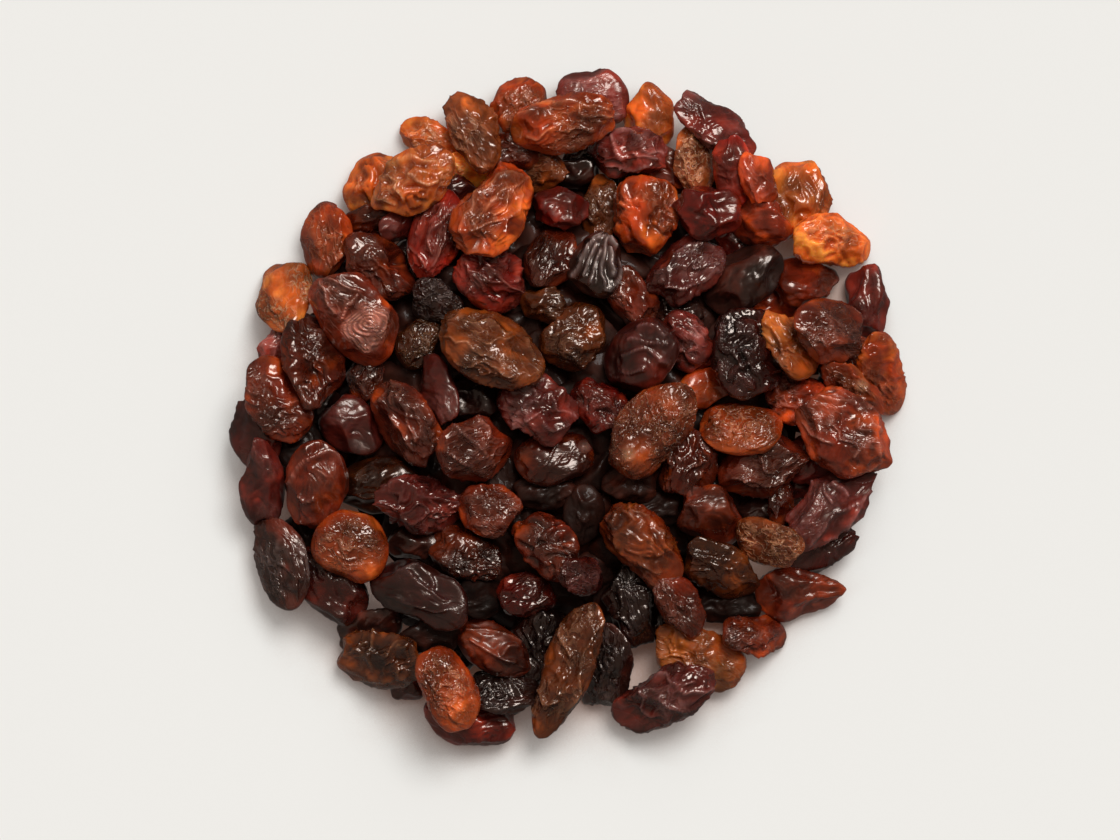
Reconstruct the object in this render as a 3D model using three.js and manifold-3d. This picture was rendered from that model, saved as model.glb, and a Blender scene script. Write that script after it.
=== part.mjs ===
// A loose round heap of sultanas, as poured on a table: about 90 mm across and 16 mm high.
// Units are millimetres, +Z is up, and the origin is the middle of the heap's base.
// Every fruit that shows from above has its own place; a low core stands for the ones underneath.
import * as THREE from 'three';
import * as BufferGeometryUtils from 'three/addons/utils/BufferGeometryUtils.js';
import Module from 'manifold-3d';

// The core: a low flat-based dome that the fruits are heaped on.
const CORE_RADIUS = 30;
const CORE_HEIGHT = 8;
const CORE_SIDES = 24;
const CORE_RINGS = 4;

// The fruits that lie on the table round the core, hidden under the ones that show.
const RING_COUNT = 26;
const RING_RADIUS = 33;
const RING_STAGGER = 1.5;
const RING_LENGTH = 10;
const RING_WIDTH = 7;
const RING_SKEW = 35;
const HIDDEN_SHARE = 0.93;
const LOWER_SHARE = 0.5;

// The fruit's form: a rounded block, flatter than it is wide.
const THICK_SHARE = 0.8;
const THICKEST = 6.8;
const SQUARENESS = 2.2;
const LUMP_SHARE = 0.07;
const LUMP_WAVES = { along: 2.6, across: 3.4, up: 3 };
const BEND_SHARE = 0.1;
const BEND_MIDDLE = 0.3;
const GOLDEN_ANGLE = 2.39996;
const WELD = 0.0001;

// Sides round a fruit and rings along it.
const TOP_FACETS = { sides: 8, rings: 4 };
const LOW_FACETS = { sides: 6, rings: 4 };

// How the fruits settle on each other: they sink in a little and lean with what is under them.
const CELL = 0.5;
const FIELD = 50;
const SINK = 1.2;
const LEAN_SHARE = 0.8;
const STEEPEST = 0.6;

// Fruits in the order they fell, one row each:
// x, y, length, width, heading in degrees, and how much the leading end is wider.
const LOWER = [
  [-35.5, -5, 9, 6.5, -75, 0],
  [-34.3, -17.5, 7, 6, 30, 0],
  [33.5, -7, 8.5, 6.5, 20, 0],
  [-15, -28.5, 8, 5.5, 0, 0],
  [-25.5, 29.8, 9.5, 8.5, 50, 0],
  [-17.5, 34.8, 9.5, 4.8, -30, -0.2],
  [-6.3, 39.8, 8.5, 7, 50, 0],
  [3.6, 40.8, 8.8, 8.4, 0, 0],
  [10.6, 38.2, 9, 6.8, 85, -0.2],
  [14, 30.8, 6.5, 5, -60, 0],
  [17.2, 32.3, 9, 5.5, 90, 0],
  [30.6, 27.7, 10.5, 7.5, 75, 0],
  [3, 33.5, 7, 4, 30, 0],
  [1.5, 30.5, 6, 4.5, 0, 0],
  [-2.8, 31, 6.5, 5.5, 0, 0],
  [-7, 33.7, 6.5, 5.5, 0, 0],
  [-13, 31, 6, 4.5, -10, 0],
  [-14.8, 28.3, 5.5, 5, 0, 0],
  [-26, 23.8, 6.5, 4.5, 10, 0],
  [-22, 23.7, 5.5, 4, 20, 0],
  [-21.3, 18.3, 6.5, 4.5, 80, 0],
  [-14.5, 16.5, 6.5, 5, 0, 0],
  [-17, 13.5, 7, 5.5, -30, 0],
  [-19.5, 8, 6.5, 5.5, 60, 0],
  [-26.5, 3.5, 6.5, 5, 90, 0],
  [-37.8, 8.2, 7, 4.8, 20, 0],
  [-41.1, -2.6, 11.5, 7, -85, 0],
  [-11.5, 0.5, 8, 5.5, 0, 0],
  [-2.8, -11.8, 8.5, 4.5, 0, 0],
  [2.4, -14.8, 7.5, 5.2, 80, 0],
  [12.8, -14, 6.5, 4.5, 0, 0],
  [8.5, -10.8, 7, 5, 0, 0],
  [16.2, -8, 8.8, 7.5, 65, 0],
  [25.8, -13.7, 5.5, 4, 0, 0],
  [28.8, -13.3, 5.5, 4, 90, 0],
  [30.5, 1, 8.5, 6.5, -30, 0],
  [28.5, 13.5, 7, 4.5, -10, 0],
  [31.8, 16.3, 8.7, 7, -15, 0],
  [40.2, 13.8, 10, 6.3, -80, 0],
  [37, 6.5, 8, 6, 60, 0],
  [15, 12, 7, 4.8, -20, 0],
  [8.8, 14.3, 9.5, 6, -60, 0],
  [-2.8, 13.2, 6, 5.5, 0, 0],
  [-1.8, 19.3, 8, 6, 60, 0],
  [4.6, 26, 8.5, 5, 80, 0],
  [26, 24, 8.5, 6.8, -30, 0],
  [23.8, 16.5, 11.3, 8, 35, 0],
  [41.9, 4, 10.8, 6, -80, 0],
  [34.7, -19.3, 11.5, 4.8, 30, 0],
  [21.5, -26.7, 9, 5, 0, 0],
  [8.5, -27, 10.5, 7, -75, 0],
  [5.3, -35, 10.8, 6.4, 85, 0],
  [-3.5, -29.8, 7, 5, 20, 0],
  [-11, -25.5, 6.5, 5.5, 0, 0],
  [-20, -18.5, 6.5, 5, 0, 0],
  [-18, -31, 7.5, 4.5, 0, 0],
  [-26, -30, 9, 5, 20, 0],
  [-21, -37, 5, 5, 0, 0],
  [-12.6, -42, 13, 5.5, 5, 0],
  [17.8, -33.6, 12.5, 8.2, -25, 0],
  [31.2, -25.2, 11.3, 6, 3, -0.3],
  [-31, -24, 11.8, 7, -50, 0],
  [-37.8, -21.5, 13, 7, -72, 0],
  [-25, -10.8, 10.5, 7.2, 10, 0],
  [-40.3, -10.3, 11, 5.5, 95, 0],
  [-37.3, 14.6, 9.6, 7, 75, 0],
  [-31.7, 21.8, 10.5, 6.8, 88, 0],
  [-28.3, -3, 8.5, 7.4, -40, 0],
  [-17, 1.8, 9.5, 5, -75, 0],
  [-1.3, -7.2, 10.5, 6.3, 10, 0],
  [18.8, 2, 7, 5, 10, 0],
  [4.6, -0.3, 8.3, 6, -40, 0],
  [16.2, 8, 8.5, 6.2, -55, 0],
];
const MIDDLE = [
  [8.4, 33.3, 10.3, 6.5, -5, 0],
  [0, 37.3, 14.5, 7.4, 10, 0],
  [-12.3, 36.5, 10.5, 7.5, -65, 0],
  [19.9, 37.2, 12.2, 6, -38, 0],
  [22.3, 30.7, 9.5, 4.8, -80, 0],
  [25.6, 29.8, 7, 4.5, -75, 0],
  [-17.2, 22.3, 12, 6.7, 75, 0],
  [-0.6, 25.8, 7.3, 5.8, -5, 0],
  [10.6, 24.8, 10.5, 8.6, 85, 0],
  [18.7, 25.5, 9.3, 6.7, -10, 0],
  [35.3, 21.5, 9.8, 7.3, -5, 0],
  [-24.8, 18.3, 9.8, 6.6, -40, 0],
  [-9.7, 16.8, 9.5, 7.8, -40, 0],
  [4.3, 18.3, 8.5, 7.2, 78, -0.3],
  [1.4, 8.8, 9.5, 8, 30, 0],
  [10.2, 6.4, 10.3, 9, 50, 0],
  [16, 17.5, 10.7, 7.4, 40, 0],
  [24, 6.6, 12.2, 8.5, -82, 0],
  [29.8, 8.3, 9, 6, -55, 0],
  [35, 9.5, 9.5, 7.8, -20, 0],
  [38.3, 1.8, 9.5, 4.8, -42, 0],
  [-20.8, -2.6, 12.5, 7.2, -55, 0],
  [-12, -6, 9.8, 8, 25, 0],
  [-3.2, -0.6, 10, 8.7, -30, 0],
  [26.3, -8.4, 11.2, 7.5, 20, 0],
  [-38.3, 0.6, 12, 7, -62, 0],
  [-33.4, 5.7, 11.3, 7.2, -80, 0],
  [-33, -11, 12, 8, 85, 0],
  [-19, -13.4, 11.2, 7.2, -5, 0],
  [-10, -14, 8, 7, -15, 0],
  [-13.2, -20, 10, 5.8, -25, 0],
  [-2.4, -18.7, 8.8, 7.2, -50, 0],
  [9.8, -18.4, 12.7, 7.8, -52, 0],
  [19.3, -14.9, 9.2, 7.4, -35, 0],
  [-5.3, -25.5, 7.5, 5.8, 5, 0],
  [2, -22.7, 6.5, 5.2, 5, 0],
  [35.2, -14, 14.5, 8.5, 35, 0],
  [26.8, -18.3, 9, 5.8, -20, 0],
  [20.7, -22, 10.5, 6.3, -28, -0.1],
  [15.3, -26.8, 8.2, 5.4, -60, 0],
  [25, -30.8, 7.8, 6, -10, 0],
  [13.4, -39, 13.5, 8.3, 22, 0],
  [-8.3, -38.2, 9.2, 5.7, -5, 0],
  [-24.5, -34, 11.8, 7.3, -8, 0],
  [-19.2, -25.2, 12.7, 8, -22, 0],
];
const UPPER = [
  [-20.3, 29.5, 11.5, 7.6, 35, 0],
  [-9.5, 25.7, 13, 8.5, 60, 0],
  [-27.8, 11.7, 13.5, 9.3, -50, 0],
  [-9.8, 7.3, 15, 9, -28, 0],
  [11.5, -3.3, 14.5, 9.5, 47, 0],
  [23.1, -3.3, 10.8, 6.6, -3, 0],
  [37.2, -4.2, 14.5, 9.2, -35, 0],
  [-28.3, -18.8, 9.5, 9, -30, 0],
  [0.2, -35.4, 18, 6.4, 68, 0.1],
  [-9.4, -32.5, 10.7, 6.2, -32, 0],
  [-15.5, -37.7, 12, 6.9, -65, 0],
];

const SULTANA_COLOUR = 0x5a2412;
const SULTANA_ROUGHNESS = 0.4;

// The height of the dome above the table at a distance from its middle.
function domeHeight(distance) {
  const share = Math.min(distance / CORE_RADIUS, 1);
  return CORE_HEIGHT * Math.sqrt(1 - share * share);
}

// The heap's surface so far, as heights on a square field of cells.
const CELLS = Math.round(2 * FIELD / CELL) + 1;
const surface = new Float64Array(CELLS * CELLS);
for (let row = 0; row < CELLS; row += 1) {
  for (let column = 0; column < CELLS; column += 1) {
    const distance = Math.hypot(column * CELL - FIELD, row * CELL - FIELD);
    surface[row * CELLS + column] = distance < CORE_RADIUS ? domeHeight(distance) : 0;
  }
}

function makeFruit([x, y, length, width, heading, taper], index) {
  return {
    x,
    y,
    length,
    width,
    taper,
    angle: THREE.MathUtils.degToRad(heading),
    thickness: Math.min(THICK_SHARE * width, THICKEST),
    phase: index * GOLDEN_ANGLE,
  };
}

// The cells under a fruit: place along and across it, half its thickness there, and cell number.
function cellsUnder(fruit) {
  const cells = [];
  const reach = fruit.length / 2 + CELL;
  const cosine = Math.cos(fruit.angle);
  const sine = Math.sin(fruit.angle);
  const firstRow = Math.ceil((fruit.y - reach + FIELD) / CELL);
  const lastRow = Math.floor((fruit.y + reach + FIELD) / CELL);
  const firstColumn = Math.ceil((fruit.x - reach + FIELD) / CELL);
  const lastColumn = Math.floor((fruit.x + reach + FIELD) / CELL);
  for (let row = firstRow; row <= lastRow; row += 1) {
    for (let column = firstColumn; column <= lastColumn; column += 1) {
      const east = column * CELL - FIELD - fruit.x;
      const north = row * CELL - FIELD - fruit.y;
      const along = east * cosine + north * sine;
      const across = north * cosine - east * sine;
      const end = 2 * along / fruit.length;
      const side = 2 * across / (fruit.width * (1 + fruit.taper * end));
      const inside = 1 - Math.abs(end) ** SQUARENESS - Math.abs(side) ** SQUARENESS;
      if (inside > 0) {
        const half = 0.5 * fruit.thickness * inside ** (1 / SQUARENESS);
        cells.push({ along, across, half, cell: row * CELLS + column });
      }
    }
  }
  return cells;
}

// The lean along one direction: how much higher the front half would be held than the rear half,
// over half the fruit's size.
function findLean(cells, direction, size) {
  let ahead = 0;
  let behind = 0;
  for (const place of cells) {
    const held = surface[place.cell] + place.half;
    if (place[direction] > 0) {
      ahead = Math.max(ahead, held);
    } else {
      behind = Math.max(behind, held);
    }
  }
  const lean = LEAN_SHARE * (ahead - behind) / (size / 2);
  return THREE.MathUtils.clamp(lean, -STEEPEST, STEEPEST);
}

// The surface rises to the top of a fruit that has its place.
function raiseSurface(fruit, cells) {
  for (const { along, across, half, cell } of cells) {
    const tilt = fruit.leanAlong * along + fruit.leanAcross * across;
    surface[cell] = Math.max(surface[cell], fruit.height + tilt + half);
  }
}

function layOnTable(fruit) {
  fruit.leanAlong = 0;
  fruit.leanAcross = 0;
  fruit.height = fruit.thickness / 2;
  raiseSurface(fruit, cellsUnder(fruit));
}

// A fruit comes down until it has sunk a little into the highest thing under it,
// but never below the table.
function settle(fruit) {
  const cells = cellsUnder(fruit);
  fruit.leanAlong = findLean(cells, 'along', fruit.length);
  fruit.leanAcross = findLean(cells, 'across', fruit.width);
  let onHeap = 0;
  let onTable = 0;
  for (const { along, across, half, cell } of cells) {
    const tilt = fruit.leanAlong * along + fruit.leanAcross * across;
    onHeap = Math.max(onHeap, surface[cell] + half - tilt - SINK);
    onTable = Math.max(onTable, half - tilt);
  }
  fruit.height = Math.max(onHeap, onTable);
  raiseSurface(fruit, cells);
}

// A fruit's faceted solid: a rounded block with a few soft lumps, a slight bend and its lean.
// Its corners stand out a little, so that a section with few sides keeps the round one's area.
function fruitGeometry(fruit, { sides, rings }) {
  const geometry = new THREE.SphereGeometry(1, sides, rings);
  geometry.rotateZ(Math.PI / 2);
  const position = geometry.getAttribute('position');
  const point = new THREE.Vector3();
  const corner = Math.sqrt(2 * Math.PI / (sides * Math.sin(2 * Math.PI / sides)));
  const cosine = Math.cos(fruit.angle);
  const sine = Math.sin(fruit.angle);
  for (let i = 0; i < position.count; i += 1) {
    point.fromBufferAttribute(position, i).normalize();
    const block = Math.abs(point.x) ** SQUARENESS + Math.abs(point.y) ** SQUARENESS
      + Math.abs(point.z) ** SQUARENESS;
    point.multiplyScalar(corner * block ** (-1 / SQUARENESS));
    const wave = Math.sin(LUMP_WAVES.along * point.x + fruit.phase)
      + Math.sin(LUMP_WAVES.across * point.y + 2 * fruit.phase)
      + Math.sin(LUMP_WAVES.up * point.z + 3 * fruit.phase);
    const swell = 1 + LUMP_SHARE * wave / 3;
    const end = point.x;
    const bend = BEND_SHARE * Math.sin(fruit.phase) * (end * end - BEND_MIDDLE);
    const along = 0.5 * fruit.length * end * swell;
    const across = 0.5 * fruit.width * (point.y * swell * (1 + fruit.taper * end) + bend);
    const up = 0.5 * fruit.thickness * point.z * swell;
    const tilt = fruit.leanAlong * along + fruit.leanAcross * across;
    position.setXYZ(
      i,
      fruit.x + along * cosine - across * sine,
      fruit.y + along * sine + across * cosine,
      Math.max(fruit.height + tilt + up, 0),
    );
  }
  return geometry;
}

function coreGeometry() {
  const profile = [new THREE.Vector2(0, 0)];
  for (let ring = 0; ring <= CORE_RINGS; ring += 1) {
    const turn = (ring / CORE_RINGS) * Math.PI / 2;
    profile.push(new THREE.Vector2(CORE_RADIUS * Math.cos(turn), CORE_HEIGHT * Math.sin(turn)));
  }
  profile[profile.length - 1].x = 0;
  const geometry = new THREE.LatheGeometry(profile, CORE_SIDES);
  geometry.rotateX(Math.PI / 2);
  return geometry;
}

const wasm = await Module();
wasm.setup();

// A closed geometry as a solid that can be joined.
function toSolid(geometry) {
  geometry.deleteAttribute('normal');
  geometry.deleteAttribute('uv');
  const merged = BufferGeometryUtils.mergeVertices(geometry, WELD);
  return new wasm.Manifold(new wasm.Mesh({
    numProp: 3,
    vertProperties: new Float32Array(merged.getAttribute('position').array),
    triVerts: new Uint32Array(merged.getIndex().array),
  }));
}

function toGeometry(solid) {
  const mesh = solid.getMesh();
  const geometry = new THREE.BufferGeometry();
  geometry.setAttribute('position', new THREE.BufferAttribute(mesh.vertProperties, 3));
  geometry.setIndex(new THREE.BufferAttribute(mesh.triVerts, 1));
  geometry.computeVertexNormals();
  return geometry;
}

function coveredCells(fruits) {
  const covered = new Set();
  for (const fruit of fruits) {
    for (const { cell } of cellsUnder(fruit)) covered.add(cell);
  }
  return covered;
}

// The ring round the core: alternate fruits lie nearer and farther and skewed the other way.
// A place that the shown fruits don't cover, or that the lower ones fill, stays empty.
function hiddenRing(shown) {
  const covered = coveredCells(shown);
  const filled = coveredCells(shown.slice(0, LOWER.length));
  const ring = [];
  for (let place = 0; place < RING_COUNT; place += 1) {
    const side = place % 2 === 0 ? 1 : -1;
    const degrees = place * 360 / RING_COUNT;
    const turn = THREE.MathUtils.degToRad(degrees);
    const distance = RING_RADIUS + side * RING_STAGGER;
    const x = distance * Math.cos(turn);
    const y = distance * Math.sin(turn);
    const fruit = makeFruit([x, y, RING_LENGTH, RING_WIDTH, degrees + side * RING_SKEW, 0], place);
    const cells = cellsUnder(fruit);
    const hidden = cells.filter(({ cell }) => covered.has(cell)).length / cells.length;
    const taken = cells.filter(({ cell }) => filled.has(cell)).length / cells.length;
    if (hidden > HIDDEN_SHARE && taken < LOWER_SHARE) ring.push(fruit);
  }
  return ring;
}

// The heap: the core and all the fruits joined. Of the bodies that the join leaves,
// the largest is the heap; sealed hollows are filled and loose scraps are dropped with the rest.
function buildHeap() {
  const shown = [...LOWER, ...MIDDLE, ...UPPER].map(makeFruit);
  const ring = hiddenRing(shown);
  let heap = toSolid(coreGeometry());
  for (const fruit of ring) {
    layOnTable(fruit);
    heap = heap.add(toSolid(fruitGeometry(fruit, LOW_FACETS)));
  }
  for (const [index, fruit] of shown.entries()) {
    settle(fruit);
    const facets = index < LOWER.length ? LOW_FACETS : TOP_FACETS;
    heap = heap.add(toSolid(fruitGeometry(fruit, facets)));
  }
  let largest = null;
  for (const body of heap.decompose()) {
    if (largest === null || body.volume() > largest.volume()) largest = body;
  }
  return largest;
}

const heap = new THREE.Mesh(
  toGeometry(buildHeap()),
  new THREE.MeshStandardMaterial({
    color: SULTANA_COLOUR,
    roughness: SULTANA_ROUGHNESS,
    metalness: 0,
  }),
);
heap.name = 'sultana_heap';

const part = new THREE.Group();
part.name = 'sultanas';
part.add(heap);

export default part;
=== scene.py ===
"""A loose round heap of sultanas on a pale floor, seen from straight above.

Every sultana is a wrinkled closed surface worked out on a grid, and it settles on the ones under it.
Lengths are in millimetres until a mesh is made, and the heap's middle on the floor is the origin.
"""

import bpy
import numpy as np
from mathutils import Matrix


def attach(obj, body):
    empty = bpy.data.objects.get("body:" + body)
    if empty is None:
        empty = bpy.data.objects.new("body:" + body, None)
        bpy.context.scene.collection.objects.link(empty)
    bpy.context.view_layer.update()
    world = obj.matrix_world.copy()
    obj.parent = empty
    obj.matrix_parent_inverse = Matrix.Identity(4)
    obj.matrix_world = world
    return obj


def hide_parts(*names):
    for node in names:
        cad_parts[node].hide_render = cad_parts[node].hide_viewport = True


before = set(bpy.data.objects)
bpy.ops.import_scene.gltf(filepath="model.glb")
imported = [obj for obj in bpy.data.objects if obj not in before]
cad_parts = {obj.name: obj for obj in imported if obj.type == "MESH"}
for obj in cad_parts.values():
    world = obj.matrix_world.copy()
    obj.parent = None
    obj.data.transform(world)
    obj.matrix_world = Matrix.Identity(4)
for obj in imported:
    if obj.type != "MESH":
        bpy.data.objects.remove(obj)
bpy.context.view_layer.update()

MM = 0.001

# The core: a low flat-based dome with a skirt, which the fruits are heaped on. The fruits just
# under the shown ones are sunk in it, with their tops as high as the heap starts.
CORE_RADIUS = 30
CORE_HEIGHT = 8
CORE_DEPTH = 3.5
CORE_SKIRT = 1.0
CORE_SKIRT_HEIGHT = 1.5
CORE_RINGS = 30
CORE_SIDES = 120
BURIED_COUNT = 84
BURIED_REACH = 0.93
BURIED_TONES = (-1, 1, 0, 2)
BURIED_FIRST = 200
UNDER_FIRST = 400

# The fruits that lie on the floor round the core, hidden under the ones that show.
RING_COUNT = 26
RING_RADIUS = 33
RING_STAGGER = 1.5
RING_LENGTH = 10
RING_WIDTH = 7
RING_SKEW = 35
HIDDEN_SHARE = 0.93
LOWER_SHARE = 0.5

# The fruit's form: a rounded block, flatter than it is wide.
THICK_SHARE = 0.8
THICKEST = 6.8
SQUARENESS = 2.2
LUMP_SHARE = 0.09
LUMP_WAVES = (2.6, 3.4, 3.0)
BEND_SHARE = 0.1
BEND_MIDDLE = 0.3
GOLDEN_ANGLE = 2.39996

# How the fruits settle on each other: they sink in a little and lean with what is under them.
CELL = 0.5
FIELD = 50
CELLS = round(2 * FIELD / CELL) + 1
SINK = 1.2
LEAN_SHARE = 0.8
STEEPEST = 0.6

# The distance between a fruit's mesh points on its upper side, for the fruits in each layer, how
# they crowd there, and how much longer the way over the fruit is than the fruit.
SPACING = {"buried": 0.36, "ring": 0.45, "lower": 0.20, "middle": 0.175, "upper": 0.16}
CROWDING = 0.45
EVENNESS = 0.15
WAY_OVER = 1.2

# The random draws: the seed of fruit 0, and what the seeds of the hidden ring have on top. Then
# how many waves a field is made of, and how much their lengths and the lines' depths vary.
FIRST_SEED = 1000
RING_SEEDS = 500
WAVES = 22
WAVE_SPREAD = (0.75, 1.35)
LINE_SPREAD = (0.75, 1.25)

# The skin's broad hollows: their number, how deep they are as a share of the fruit's radius, how
# deep one fruit's are beside another's, how far they are off their even places, how steeply their
# walls rise, and how much of the shrinking is left in the fruit's size.
HOLLOWS = (11, 18)
HOLLOW_DEPTH = (0.05, 0.38)
HOLLOW_SPREAD = (0.7, 1.15)
HOLLOW_SCATTER = 0.16
HOLLOW_STEEPNESS = 2.0
SHRINKING = 0.5

# The skin's lines: wavelength, depth, thinness, and how much the lines run along the fruit.
# Folds and the net are ridges, and creases are sunk. Folds run as their style says. They are
# deepest in patches, and the net is on rough skin: how sharp the patches are, and how deep folds
# and net are outside.
FOLDS = (2.9, 0.75, 0.42)
CREASES = (3.2, 0.35, 0.30, 0.45)
NET = (1.8, 0.42, 0.80, 0.35)
LINE_ROUNDNESS = 0.012
FOLD_PATCHES = 2
FOLDS_OUTSIDE = 0.45
NET_OUTSIDE = 0.2

# Knobs are rounded, with pits between them: how far apart they are, how deep, steep and narrow
# the pits are, and how much painted shade the pits get.
KNOB_WAVELENGTH = 2.4
KNOB_DEPTH = 0.65
KNOB_WALLS = 1.4
KNOB_SIZE = 0.5
KNOB_SHADE = 0.5

# How slow waves shift all these lines, how deep the lines are on a fruit's sides, how much calmer
# they are at its ends, how much lighter a step of tone is, and how far apart in the noise of the
# finest wrinkles the fruits can be.
WARP_WAVELENGTH = 3.5
WARP_SIZE = 0.7
SIDE_SHARE = 0.36
END_CALM = 0.5
TONE_STEP = 1.3
NOISE_REACH = 100

# Patches of rough skin: their wavelength, and how sharp their edges are, how much likelier they
# are where the skin faces up, and how likely they are at all. A rimmed fruit has one on its top.
# Then how much of the finest wrinkles is left outside them.
PATCH_WAVELENGTH = 6.5
PATCHES = (1.6, 3, -2)
RIMMED_PATCHES = (0.8, 9, -6)
FINE_OUTSIDE = 0.1

# Where a ridge gets a painted highlight: how far it has to be raised, how soon the highlight is as
# pale as it gets, how much the net counts, and how pale it is off the rough patches. Then how light
# plain skin is, that is how little painted crease shade it gets.
HIGHLIGHT_FROM = 0.65
HIGHLIGHT_RANGE = 0.45
HIGHLIGHT_NET = 0.6
HIGHLIGHT_OUTSIDE = 0.3
PLAIN_RIDGE = 0.4

# The painted glow of light shining through the rim: how it fades towards the top, and how strong
# it is on a side that faces neither to the light nor away from it; it is strongest on the side away
# from the light.
RIM_START = 1.25
RIM_FADE = 1.5
RIM_SIDE = 0.6
AWAY_FROM_LIGHT = (-0.45, -0.9)

# The styles of skin. Each has its shares of the hollows, folds, knobs, creases and net, how sharp
# the edges between its hollows are, how far its folds run along the fruit (or across it, below 0),
# how strong its finest wrinkles are and how much they are drawn out along the fruit, how much of
# the skin is rough, how pale the painted highlights on its ridges are, and how much duller its
# gloss is.
STYLE_PARTS = ("hollows", "edges", "folds", "run", "knobs", "creases",
               "net", "fine", "drawn", "rough", "pale", "dull")
STYLE_ROWS = {
    "smooth": (1.0, 18, 0.50, 0.9, 0.30, 0.5, 0.08, 0.14, 0.6, -1.8, 0.05, 0.08),
    "faceted": (1.25, 45, 0.45, 0.9, 0.0, 0.6, 0.05, 0.12, 0.6, -1.0, 0.10, 0.12),
    "folded": (1.0, 18, 1.40, 0.9, 0.15, 0.4, 0.30, 0.50, 0.3, -0.2, 0.16, 0.00),
    "ridged": (0.9, 18, 1.20, 0.93, 0.1, 0.3, 0.05, 0.20, 0.3, -1.2, 0.30, 0.04),
    "crumpled": (1.25, 35, 1.70, 0.8, 0.3, 0.7, 0.20, 0.30, 0.5, -0.9, 0.25, 0.00),
    "crossed": (0.8, 18, 1.60, -0.85, 0.2, 0.3, 0.10, 0.30, 1.0, -0.8, 0.16, 0.00),
    "leathery": (1.35, 45, 0.60, 0.6, 0.0, 0.4, 0.10, 0.25, 0.8, 0.5, 0.45, 0.12),
    "sharp": (0.8, 30, 0.30, 0.9, 0.0, 0.2, 0.05, 0.15, 0.3, -0.5, 1.00, 0.00),
    "netted": (0.6, 18, 0.40, 0.9, 0.20, 0.3, 1.10, 1.00, 0.8, 1.2, 0.20, 0.00),
    "rimmed": (0.5, 18, 0.45, 0.7, 0.10, 0.3, 1.10, 1.00, 0.7, 0.0, 0.20, 0.00),
    "knobby": (0.8, 18, 0.30, 0.9, 1.20, 0.3, 0.35, 0.40, 0.8, -0.4, 0.10, 0.00),
    "mixed": (1.0, 18, 1.00, 0.7, 0.45, 0.6, 0.45, 0.55, 0.6, 0.0, 0.15, 0.00),
    "ringed": (0.6, 18, 0.60, 0.9, 0.1, 0.3, 0.20, 0.40, 0.4, -0.5, 0.50, 0.00),
}
STYLES = {name: dict(zip(STYLE_PARTS, row)) for name, row in STYLE_ROWS.items()}

# The rings on a fruit's flat side, by the fruit's place in the lists below: their middle along and
# across it, how far they reach and the distance from one to the next. Then their depth, how far
# they wander, how little painted shade the grooves between them get, and how much of the rings'
# painted highlight is left between them.
RINGS = {120: ((2.45, 0.3), 3.7, 0.55)}
RINGS_DEPTH = 0.45
RINGS_WANDER = 0.42
RINGS_BETWEEN = 0.15
RINGS_HIGHLIGHT_BETWEEN = 0.35

# Where a fruit has a painted glow of light shining through it: x, y and radius of each spot. Then
# how wide the spots are, how strong their painted glow is, and how much calmer the skin is there.
LIT_THROUGH_SPOTS = {
    26: ((-42.4, -1.0, 1.6), (-42.2, -4.0, 1.4)),
    47: ((44.8, 7.5, 1.2), (45.2, 4.8, 1.1), (45.0, 2.0, 1.1)),
    59: ((14.5, -32.3, 3.0), (20.5, -36.0, 2.0)),
    60: ((36.0, -25.0, 3.2),),
    91: ((27.6, 10.4, 2.2),),
    103: ((-16.6, -18.4, 2.8),),
    105: ((10.5, -19.5, 3.4), (8.0, -16.0, 2.2)),
    106: ((20.0, -14.0, 2.0),),
    121: ((-14.6, 8.0, 2.4), (-10.0, 3.6, 2.4), (-5.0, 3.0, 2.2)),
    122: ((9.3, -7.2, 2.4), (13.5, 0.5, 1.8)),
    123: ((21.5, -6.0, 2.4), (26.5, -5.5, 2.0)),
    124: ((41.5, -7.2, 2.6), (34.0, 0.6, 2.6), (43.0, -3.5, 1.8)),
    125: ((-26.0, -21.5, 2.2), (-31.0, -21.5, 1.8)),
    127: ((-10.2, -31.8, 2.6),),
    128: ((-14.0, -40.8, 3.0),),
}
SPOT_WIDTH = 1.4
SPOT_GLOW = 1.6
SPOT_CALM = 0.7

# Where a fruit has the scar of its stalk: x, y and radius. Then how far the scars stand out, how
# wide they are and how pale.
SCARS = {93: (39.3, 2.4, 0.9), 122: (8.3, -6.6, 1.0), 69: (2.6, -5.6, 0.8)}
SCAR_HEIGHT = 0.5
SCAR_WIDTH = 1.3
SCAR_PALENESS = 0.9
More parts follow.
